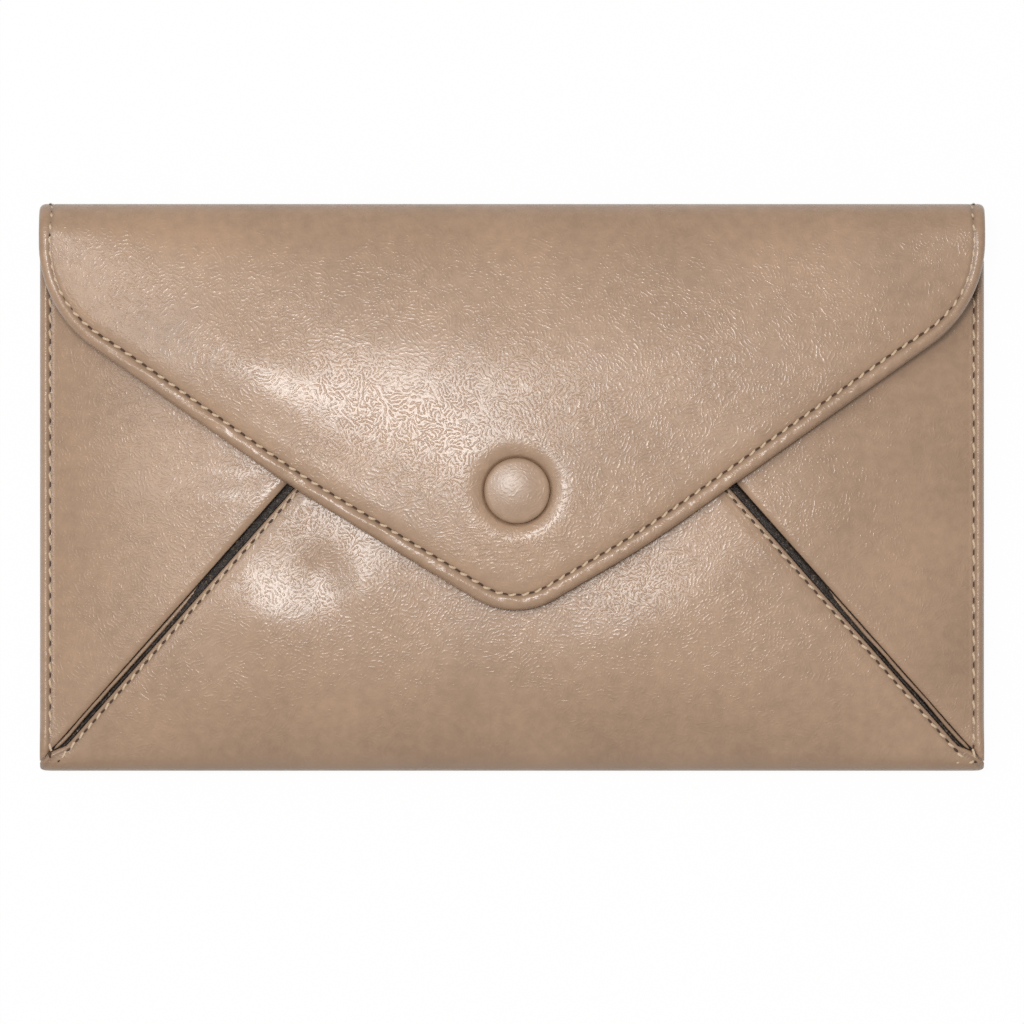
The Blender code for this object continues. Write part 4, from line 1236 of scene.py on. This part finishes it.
class WALLET_OT_seams(bpy.types.Operator):
    """Makes the cord and the folded black gusset that show in the two diagonal seams"""

    bl_idname = "wallet.seams"
    bl_label = "Seams"

    def execute(self, context):
        heights = np.arange(-53.6, MOUTH_Y - 0.6, 0.5)
        sink = smooth(heights, *SLIT_OPENS)
        for side, sign, seed in (("left", 1, 7), ("right", -1, 11)):
            rng = np.random.default_rng(seed)
            wobble = np.convolve(rng.normal(0, 1, len(heights) + 8), np.ones(9) / 9, "valid")
            centre = np.array([seam_point(-0.42 + 0.12 * w, y) for w, y in zip(wobble, heights)])
            path = place_front(centre[:, 0], centre[:, 1], 0.95 + 0.12 * wobble + 0.9 * sink)
            path[:, 0] *= sign
            piece = cord(side + "_cord", path, 0.40 + 0.05 * wobble, 0.45, finish("cord"))
            stand_for(piece, "body", side + "_welt")
            self.gusset(side, sign, rng)
        return {"FINISHED"}

    def spot(self, offset, y):
        """Point beside the left seam, kept off the wallet's middle and its side."""
        spot = seam_point(offset, y)
        if spot[0] > -0.2:
            spot = seam_at_x(offset, -0.2)
        return max(spot[0], -HALF_W + 1.2), spot[1]

    def gusset(self, side, sign, rng):
        """A strip under the seam whose crest rises in the slit, wrinkled along its length."""
        heights = np.arange(-54.2, MOUTH_Y - 0.2, 0.3)
        offsets = [
            -4.0, -2.6, -1.6, -1.1, -0.5, 0.0, 0.15, 0.3, 0.45, 0.6, 0.75, 1.0, 1.6, 2.6, 4.0,
        ]
        narrow, wide = (np.interp(offsets, places, [0, *rise, 1, 1, 0.6, 0]) for places, rise in (
            ([-1.1, -0.5, 0.0, 0.3, 0.55, 0.75, 1.1], (0.1, 0.4)),
            ([-1.1, -0.75, -0.4, 0.3, 0.6, 0.8, 1.1], (0.3, 0.9)),
        ))
        rough = rng.normal(0, 1, (len(heights) + 2, len(offsets) + 2))
        rough = (rough[:-2, :-2] + rough[1:-1, 1:-1] + rough[2:, 2:]) / 3
        crest = narrow + (wide - narrow) * smooth(heights, *SLIT_OPENS)[:, None]
        depth = (1.75 - 1.3 * crest + 0.18 * rough * crest).ravel()
        spots = np.array([self.spot(offset, y) for y in heights for offset in offsets])
        upper = place_front(spots[:, 0], spots[:, 1], depth)
        lower = place_front(spots[:, 0], spots[:, 1], np.full(len(depth), 2.1))
        lower[:, 2] = np.minimum(lower[:, 2], upper[:, 2] - 0.05)
        verts = np.concatenate([upper, lower]) * (sign, 1, 1)
        base = len(upper)
        at = np.arange(base).reshape(len(heights), len(offsets))
        quads = np.stack([at[:-1, :-1], at[:-1, 1:], at[1:, 1:], at[1:, :-1]], -1).reshape(-1, 4)
        border = [*at[0], *at[1:, -1], *at[-1, -2::-1], *at[-2:0:-1, 0]]
        polygons = [*quads, *(quads[:, ::-1] + base)]
        polygons += [(b, a, a + base, b + base) for a, b in zip(border, border[1:] + border[:1])]
        polygons = [p[::sign] for p in polygons]
        flat = np.concatenate([spots, spots])
        piece = make_piece(side + "_gusset_fold", verts * MM, polygons, finish("glazed"), flat)
        half = 2.6
        near = seam_point(-half, 0.0)
        far = near + SEAM_OVER * 2 * half
        ends = [(sign * x * MM, y * MM, FRONT_CROWN * MM) for x, y in (near, far)]
        stand_for(piece, ("body", "front", *ends), side + "_gusset")


class WALLET_OT_inside(bpy.types.Operator):
    """Makes the divider, the card slots and the cloth of the coin pocket"""

    bl_idname = "wallet.inside"
    bl_label = "Inside"

    def execute(self, context):
        for name in ("card_slot_lower", "card_slot_upper"):
            self.card_slot(name)
        low, high = span("centre_divider")
        piece = shell(
            "divider_cloth", [("edge", rectangle(low, high))], THIN_RINGS, *LINING_MESH,
            place_divider, cloth_depths(0.0), finish("lining"),
        )
        stand_for(piece, "body", "centre_divider")
        for name in ("coin_pocket_front", "coin_pocket_facing"):
            self.coin_pocket(name)
        return {"FINISHED"}

    def card_slot(self, name):
        """A card slot with a round thumb notch in its upper edge."""
        low, high = span(name)
        notch = [(11 * math.cos(a), high.y - 11 * math.sin(a)) for a in np.linspace(0, math.pi, 25)]
        line = rectangle(low, high)
        piece = shell(
            name + "_cloth", [("edge", line[:-1] + notch + line[-1:])], THIN_RINGS, 1.5, 3.0,
            place_back, cloth_depths(low.z, high.z - low.z), finish("pocket"), face_down=True,
        )
        stand_for(piece, "body", name)

    def coin_pocket(self, name):
        """Cloth that stands a little off the divider and is sewn down on three sides."""
        low, high = span(name)
        closed = low.y if name.endswith("front") else high.y

        def depths(x, v, gaps):
            drop = roll(gaps["edge"], CORNER, CLOTH / 2)
            near = np.min([np.abs(x - low.x), np.abs(x - high.x), np.abs(v - closed)], 0)
            rise = 0.35 + 0.65 * smooth(near, 0.4, 4.0)
            return -rise - CLOTH + drop, -rise - drop

        piece = shell(
            name + "_cloth", [("edge", rectangle(low, high))], THIN_RINGS, 1.5, 2.5,
            place_divider, depths, finish("pocket"),
        )
        stand_for(piece, "body", name)


# Repeats -----------------------------------------------------------------------------------


class Tree(Nodes):
    """A Geometry Nodes tree that repeats a shape along the path it is given."""

    def __init__(self, name, inputs):
        super().__init__(bpy.data.node_groups.new(name, "GeometryNodeTree"))
        self.inputs = {}
        sockets = self.tree.interface
        for label, kind in [("Geometry", "Geometry"), *inputs]:
            made = sockets.new_socket(label, in_out="INPUT", socket_type="NodeSocket" + kind)
            self.inputs[label] = made.identifier
        sockets.new_socket("Geometry", in_out="OUTPUT", socket_type="NodeSocketGeometry")
        self.entry = self.add("NodeGroupInput")
        self.exit = self.add("NodeGroupOutput")

    def given(self, name):
        return self.entry.outputs[name]

    def vector(self, *values):
        return self.put("ShaderNodeCombineXYZ", enumerate(values))

    def row(self):
        """Points at an even pitch along the path."""
        curve = self.put("GeometryNodeMeshToCurve", [("Mesh", self.given("Geometry"))])
        values = [("Curve", curve), ("Length", self.given("Pitch"))]
        return self.put("GeometryNodeResampleCurve", values, mode="LENGTH")

    def repeat(self, row, shape, material, *turn):
        """The shape at every point of the row as real faces in one of the given materials."""
        values = [("Points", row), ("Instance", shape), *turn]
        made = self.put("GeometryNodeInstanceOnPoints", values)
        made = self.put("GeometryNodeRealizeInstances", [("Geometry", made)])
        values = [("Geometry", made), ("Material", self.given(material))]
        return self.put("GeometryNodeSetMaterial", values)


def stitch_tree():
    """Thread and dark shapes that paint the awl holes' shade, set along a path, standing on the
    path's own lift direction.
    """
    lengths = ("Pitch", "Thread length", "Thread radius", "Hole length", "Slant")
    materials = ("Thread", "Hole")
    t = Tree("stitch_row", [
        *[(name, "Float") for name in lengths], *[(name, "Material") for name in materials],
    ])
    row = t.row()
    radius = t.given("Thread radius")
    lift = t.put("GeometryNodeInputNamedAttribute", [("Name", "lift")], data_type="FLOAT_VECTOR")
    values = [("Primary Axis", lift), ("Secondary Axis", t.put("GeometryNodeInputTangent"))]
    base = t.put("FunctionNodeAxesToRotation", values, primary_axis="Z", secondary_axis="X")
    tilt = t.put("FunctionNodeEulerToRotation", [(0, t.vector(0.0, 0.0, t.given("Slant")))])
    values = [("Rotation", base), ("Rotate By", tilt)]
    turned = t.put("FunctionNodeRotateRotation", values, rotation_space="LOCAL")
    half, low = t.times(t.given("Thread length"), 0.5), t.times(radius, -0.9)
    arc = t.put("GeometryNodeCurveQuadraticBezier", [
        ("Resolution", 5),
        ("Start", t.vector(t.times(half, -1.0), 0.0, low)),
        ("Middle", t.vector(0.0, 0.0, t.times(radius, 2.1))),
        ("End", t.vector(half, 0.0, low)),
    ])
    ring = t.put("GeometryNodeCurvePrimitiveCircle", [("Resolution", 6), ("Radius", radius)])
    values = [("Curve", arc), ("Profile Curve", ring), ("Fill Caps", True)]
    thread = t.put("GeometryNodeCurveToMesh", values)
    threads = t.repeat(row, thread, "Thread", ("Rotation", turned))
    long = t.times(t.given("Hole length"), 0.5)
    pit = t.put("GeometryNodeTransform", [
        ("Geometry", t.put("GeometryNodeMeshUVSphere", [("Segments", 8), ("Rings", 4)])),
        ("Translation", t.vector(t.times(t.given("Pitch"), 0.5), 0.0, t.times(radius, -0.30))),
        ("Scale", t.vector(long, t.times(radius, 1.2), t.times(radius, 0.6))),
    ])
    pits = t.repeat(row, pit, "Hole", ("Rotation", base))
    both = t.put("GeometryNodeJoinGeometry", [(0, pits), (0, threads)])
    t.feed(t.put("GeometryNodeSetShadeSmooth", [("Geometry", both)]), t.exit.inputs[0])
    return t


def teeth_tree():
    """Teeth set along the edge of a zip's tape."""
    t = Tree("teeth_row", [("Pitch", "Float"), ("Tooth", "Object"), ("Metal", "Material")])
    tooth = t.add("GeometryNodeObjectInfo", [("Object", t.given("Tooth"))]).outputs["Geometry"]
    t.feed(t.repeat(t.row(), tooth, "Metal"), t.exit.inputs[0])
    return t


TREES = {}


def run_tree(name, make_tree, mesh, values):
    """Evaluates a tree on a mesh and returns the result as a plain mesh piece."""
    if make_tree not in TREES:
        TREES[make_tree] = make_tree()
    tree = TREES[make_tree]
    source = link(name + "_path", mesh)
    modifier = source.modifiers.new(tree.tree.name, "NODES")
    modifier.node_group = tree.tree
    for key, value in values.items():
        modifier[tree.inputs[key]] = value
    depsgraph = bpy.context.evaluated_depsgraph_get()
    made = bpy.data.meshes.new_from_object(source.evaluated_get(depsgraph))
    made.name = name
    source.modifiers.clear()
    bpy.data.objects.remove(source)
    return link(name, made)


def stitch_rows(name, rows, stretch=1.0):
    """Sews several rows as one piece; each row is (points, lift directions) in millimetres."""
    verts, edges, lifts = [], [], []
    for points, ups in rows:
        base = len(verts)
        verts += [tuple(p * MM) for p in points]
        lifts += [tuple(u) for u in ups]
        edges += [(base + i, base + i + 1) for i in range(len(points) - 1)]
    mesh = bpy.data.meshes.new(name + "_path")
    mesh.from_pydata(verts, edges, [])
    attribute = mesh.attributes.new("lift", "FLOAT_VECTOR", "POINT")
    attribute.data.foreach_set("vector", np.array(lifts, np.float32).ravel())
    sewing = bpy.context.scene.wallet_stitching
    return run_tree(name, stitch_tree, mesh, {
        "Pitch": sewing.pitch * stretch, "Thread length": sewing.thread_length * stretch,
        "Thread radius": sewing.thread_radius, "Hole length": sewing.hole_length * stretch,
        "Slant": sewing.slant, "Thread": finish("thread"), "Hole": finish("pit"),
    })


def dense(line, step=0.5):
    """The line with points at an even step."""
    line = np.array(line, float)
    along = np.concatenate([[0], np.cumsum(np.hypot(*np.diff(line, axis=0).T))])
    places = np.linspace(0, along[-1], max(2, int(along[-1] / step)))
    return np.stack([np.interp(places, along, line[:, 0]), np.interp(places, along, line[:, 1])], 1)


def row_on(place, depth, line, under=False):
    """A stitch row laid on a placed sheet; the lift direction is the sheet's own normal."""
    x, v = dense(line).T
    depth = np.full(len(x), depth)
    here = place(x, v, depth)
    step = 0.05
    up = unit(np.cross(place(x + step, v, depth) - here, place(x, v + step, depth) - here))
    return here, -up if under else up


# How far each stitch line lies under its sheet's height
HEM_SUNK = 0.36
SIDE_SUNK = 0.12
TACK_SUNK = 0.1
BACK_SUNK = 0.16
UNDER_SUNK = 0.02


def flap_stitch_line():
    """The flap's stitch line: its edge moved in by the hem's width."""
    edge = dense(flap_line(), 0.4)
    return edge + left_of(np.gradient(edge, axis=0)) * hem_offset(edge[:, 1])[:, None]


class WALLET_OT_stitching(bpy.types.Operator):
    """Sews the flap's hem, the sides, the diagonal seams and the corner tack"""

    bl_idname = "wallet.stitching"
    bl_label = "Stitching"

    def execute(self, context):
        line = flap_stitch_line()
        self.sew("flap_stitches", [row_on(place_flap, HEM_SUNK, line)], FLAP_BLEND)
        under = row_on(place_flap, FLAP_STACK - UNDER_SUNK, line, under=True)
        self.sew("flap_under_stitches", [under], FLAP_BLEND)
        x = HALF_W - SIDE_STITCH
        lines = [[(-x, 44.0), (-x, -52.8)], [(x, -54.2), (x, 44.0)]]
        rows = [row_on(place_front, SIDE_SUNK, line) for line in lines]
        self.sew("side_stitches", rows, "body", 1.18)
        tack = [(HALF_W - 5.4, -56.0), (HALF_W - 2.6, -56.0)]
        self.sew("corner_tack", [row_on(place_front, TACK_SUNK, tack)], FRONT_BLEND, 0.6)
        x, low, high = HALF_W - BACK_STITCH, BACK_LOW + 5.6, BACK_TOP - 0.4
        lines = [[(way * x, low), (way * x, high)] for way in (-1, 1)]
        rows = [row_on(place_back, BACK_SUNK, line, under=True) for line in lines]
        self.sew("back_stitches", rows, BACK_BLEND)
        line = [seam_point(FRONT_STITCH, MOUTH_Y - 3), seam_point(FRONT_STITCH, -54.6)]
        rows = [row_on(place_front, SIDE_SUNK, one) for one in (line, mirror_line(line))]
        self.sew("front_stitches", rows, FRONT_BLEND)
        return {"FINISHED"}

    def sew(self, name, rows, carrier, stretch=1.0):
        piece = stitch_rows(name, rows, stretch)
        if isinstance(carrier, str):
            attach(piece, carrier)
        else:
            bend(piece, carrier)


def plate(*nodes):
    """Gives CAD nodes that stay the plated brass finish."""
    for node in nodes:
        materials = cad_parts[node].data.materials
        materials.clear()
        materials.append(finish("brass"))


class WALLET_OT_snap(bpy.types.Operator):
    """Makes the leather-covered cap and the brass snap under it"""

    bl_idname = "wallet.snap"
    bl_label = "Snap"

    def execute(self, context):
        top, seat = span("snap_cap")[1].z + 0.25, FLAP_CROWN + 0.1
        round_r = 0.9
        profile = [(0.0, seat + 0.25), (CAP_R - 1.2, seat + 0.2), (CAP_R - 0.7, seat)]
        for a in np.radians(np.linspace(-62, 62, 10)):
            out, up = round_r * math.cos(a), round_r * math.sin(a)
            profile.append((CAP_R - round_r + out, seat + 1.25 + up))
        rim_r, rim_z = profile[-1]
        for share in np.arange(13, -1, -1) / 14:
            profile.append((rim_r * share, rim_z + (top - rim_z) * (1 - share**2)))
        stand_for(turned_shape("cap_leather", profile, SNAP, finish("cap")), "flap", "snap_cap")
        plate("snap_cap_shell", "snap_socket", "snap_stud", "snap_stud_rivet")
        return {"FINISHED"}


# Half of a tooth's outline: distance from the foot's edge and half width
TOOTH = [
    (0.0, 0.34), (0.14, 0.44), (1.0, 0.44), (1.25, 0.34),
    (1.5, 0.34), (1.75, 0.44), (2.05, 0.4), (2.2, 0.28),
]
TOOTH_BEVEL = 0.22


def make_tooth(tall, toward):
    """One cast tooth: a foot on the tape, a neck and a head that meshes with the other row."""
    side = [(half, y * toward) for y, half in TOOTH]
    plan = side + [(-half, y) for half, y in reversed(side)]
    middle = TOOTH[-1][0] * toward / 2
    verts = []
    for z, share in ((0.0, 1.0), (tall - TOOTH_BEVEL, 1.0), (tall, 0.72)):
        draw_in = 0.5 + share / 2
        verts += [(x * share * MM, (middle + (y - middle) * draw_in) * MM, z * MM) for x, y in plan]
    count = len(plan)
    polygons = [tuple(range(count)), tuple(range(2 * count, 3 * count))]
    for level in (0, count):
        for i in range(count):
            a, b = level + i, level + (i + 1) % count
            polygons.append((a, b, b + count, a + count))
    mesh = bpy.data.meshes.new("tooth")
    mesh.from_pydata(verts, [], polygons)
    bm = bmesh.new()
    bm.from_mesh(mesh)
    bmesh.ops.recalc_face_normals(bm, faces=bm.faces)
    bm.to_mesh(mesh)
    bm.free()
    return link("tooth", mesh)


class WALLET_OT_zip(bpy.types.Operator):
    """Makes the coin pocket's zip: tapes, teeth, stops, slider and pull"""

    bl_idname = "wallet.zip"
    bl_label = "Zip"

    def execute(self, context):
        for side, toward in (("lower", 1), ("upper", -1)):
            self.tape("zip_tape_" + side, toward)
        for side, toward in (("lower", 1), ("upper", -1)):
            self.teeth("zip_teeth_" + side, toward, context.scene.wallet_zip.pitch / MM)
        plate("zip_stop_left", "zip_stop_right", "zip_slider", "zip_pull")
        return {"FINISHED"}

    def tape(self, name, toward):
        """A tape that runs on under its teeth."""
        low, high = span(name)
        clamped = 1.2
        if toward > 0:
            high.y += clamped
        else:
            low.y -= clamped
        piece = shell(
            name + "_cloth", [("edge", rectangle(low, high))], THIN_RINGS, 1.2, 2.0,
            place_divider, cloth_depths(-0.7), finish("tape"),
        )
        stand_for(piece, "body", name)

    def teeth(self, name, toward, pitch):
        """A row of teeth, half a pitch out of step with the other row."""
        low, high = span(name)
        start = low.x + pitch * (0.25 if toward > 0 else 0.75)
        end = start + pitch * int((high.x - start - pitch / 4) / pitch)
        y = low.y if toward > 0 else high.y
        mesh = bpy.data.meshes.new(name + "_path")
        mesh.from_pydata([(x * MM, y * MM, low.z * MM) for x in (start, end)], [(0, 1)], [])
        tooth = make_tooth(high.z - low.z, toward)
        values = {"Pitch": pitch * MM, "Tooth": tooth, "Metal": finish("brass")}
        row = run_tree(name + "_row", teeth_tree, mesh, values)
        bpy.data.objects.remove(tooth)
        stand_for(row, "body", name)


class WALLET_OT_stage(bpy.types.Operator):
    """Sets the pale floor, the soft lamps and the camera straight above the wallet"""

    bl_idname = "wallet.stage"
    bl_label = "Stage"

    def execute(self, context):
        settings = context.scene.wallet_stage
        self.floor()
        self.world(settings)
        for name, place, size, power in (
            ("upper_left_softbox", (-0.078, 0.093, 0.97), 0.17, settings.key_power),
            ("left_softbox", (-0.45, 0.20, 0.95), 0.45, settings.fill_power),
        ):
            lamp = bpy.data.lights.new(name, "AREA")
            lamp.shape, lamp.size, lamp.energy = "SQUARE", size, power
            holder = link(name, lamp)
            holder.location = place
            holder.rotation_euler = (-Vector(place)).to_track_quat("-Z", "Y").to_euler()
        self.camera(height=3.0, view_width=0.2083)
        return {"FINISHED"}

    def camera(self, height, view_width):
        camera = bpy.data.cameras.new("camera")
        camera.sensor_width = 36.0
        camera.lens = camera.sensor_width * height / view_width
        camera.clip_end = 10.0
        holder = link("camera", camera)
        holder.location = (0.0, -0.0051, height + 0.004)
        bpy.context.scene.camera = holder
        bpy.context.scene.view_settings.view_transform = "Standard"

    def floor(self):
        """A floor that looks nearly white but lights the wallet like a grey one."""
        reach, drop = 1.5, -0.0003
        corners = [(x * reach, y * reach, drop) for x, y in ((-1, -1), (1, -1), (1, 1), (-1, 1))]
        mesh = bpy.data.meshes.new("floor")
        mesh.from_pydata(corners, [], [(0, 1, 2, 3)])
        f = Finish("pale_floor")
        f.set(Base_Color=(0.35, 0.35, 0.35, 1.0), Roughness=0.9)
        ray = f.add("ShaderNodeLightPath").outputs
        seen = f.math("ADD", ray["Is Camera Ray"], ray["Is Glossy Ray"])
        seen = f.math("MINIMUM", f.math("ADD", seen, ray["Is Transmission Ray"]), 1.0)
        glow = f.put("ShaderNodeEmission", [("Strength", 1.05)])
        values = [(0, f.times(seen, 0.92)), (1, f.shader.outputs[0]), (2, glow)]
        f.feed(f.put("ShaderNodeMixShader", values), f.out.inputs[0])
        mesh.materials.append(f.material)
        link("floor", mesh)

    def world(self, settings):
        world = bpy.data.worlds.new("studio")
        bpy.context.scene.world = world
        world.use_nodes = True
        light = world.node_tree.nodes["Background"]
        light.inputs["Color"].default_value = (1, 1, 1, 1)
        light.inputs["Strength"].default_value = settings.world_strength


class WALLET_PT_panel(bpy.types.Panel):
    """Lists the wallet's settings and pieces"""

    bl_idname = "WALLET_PT_panel"
    bl_label = "Clutch wallet"
    bl_space_type = "VIEW_3D"
    bl_region_type = "UI"
    bl_category = "Wallet"

    def draw(self, context):
        for group, _ in GROUPS:
            box = self.layout.box()
            settings = getattr(context.scene, group)
            for key in settings.__annotations__:
                box.prop(settings, key)
        for operator in OPERATORS:
            self.layout.operator(operator.bl_idname)


GROUPS = [
    ("wallet_leather", WalletLeather),
    ("wallet_stitching", WalletStitching),
    ("wallet_hem", WalletHem),
    ("wallet_zip", WalletZip),
    ("wallet_stage", WalletStage),
]
OPERATORS = [
    WALLET_OT_back,
    WALLET_OT_inside,
    WALLET_OT_zip,
    WALLET_OT_front,
    WALLET_OT_seams,
    WALLET_OT_flap,
    WALLET_OT_snap,
    WALLET_OT_stitching,
    WALLET_OT_stage,
]


def register():
    for name, group in GROUPS:
        bpy.utils.register_class(group)
        setattr(bpy.types.Scene, name, bpy.props.PointerProperty(type=group))
    for operator in OPERATORS:
        bpy.utils.register_class(operator)
    bpy.utils.register_class(WALLET_PT_panel)


def unregister():
    bpy.utils.unregister_class(WALLET_PT_panel)
    for operator in reversed(OPERATORS):
        bpy.utils.unregister_class(operator)
    for name, group in reversed(GROUPS):
        delattr(bpy.types.Scene, name)
        bpy.utils.unregister_class(group)


def main():
    register()
    for operator in OPERATORS:
        group, name = operator.bl_idname.split(".")
        getattr(getattr(bpy.ops, group), name)()


if __name__ == "__main__":
    main()
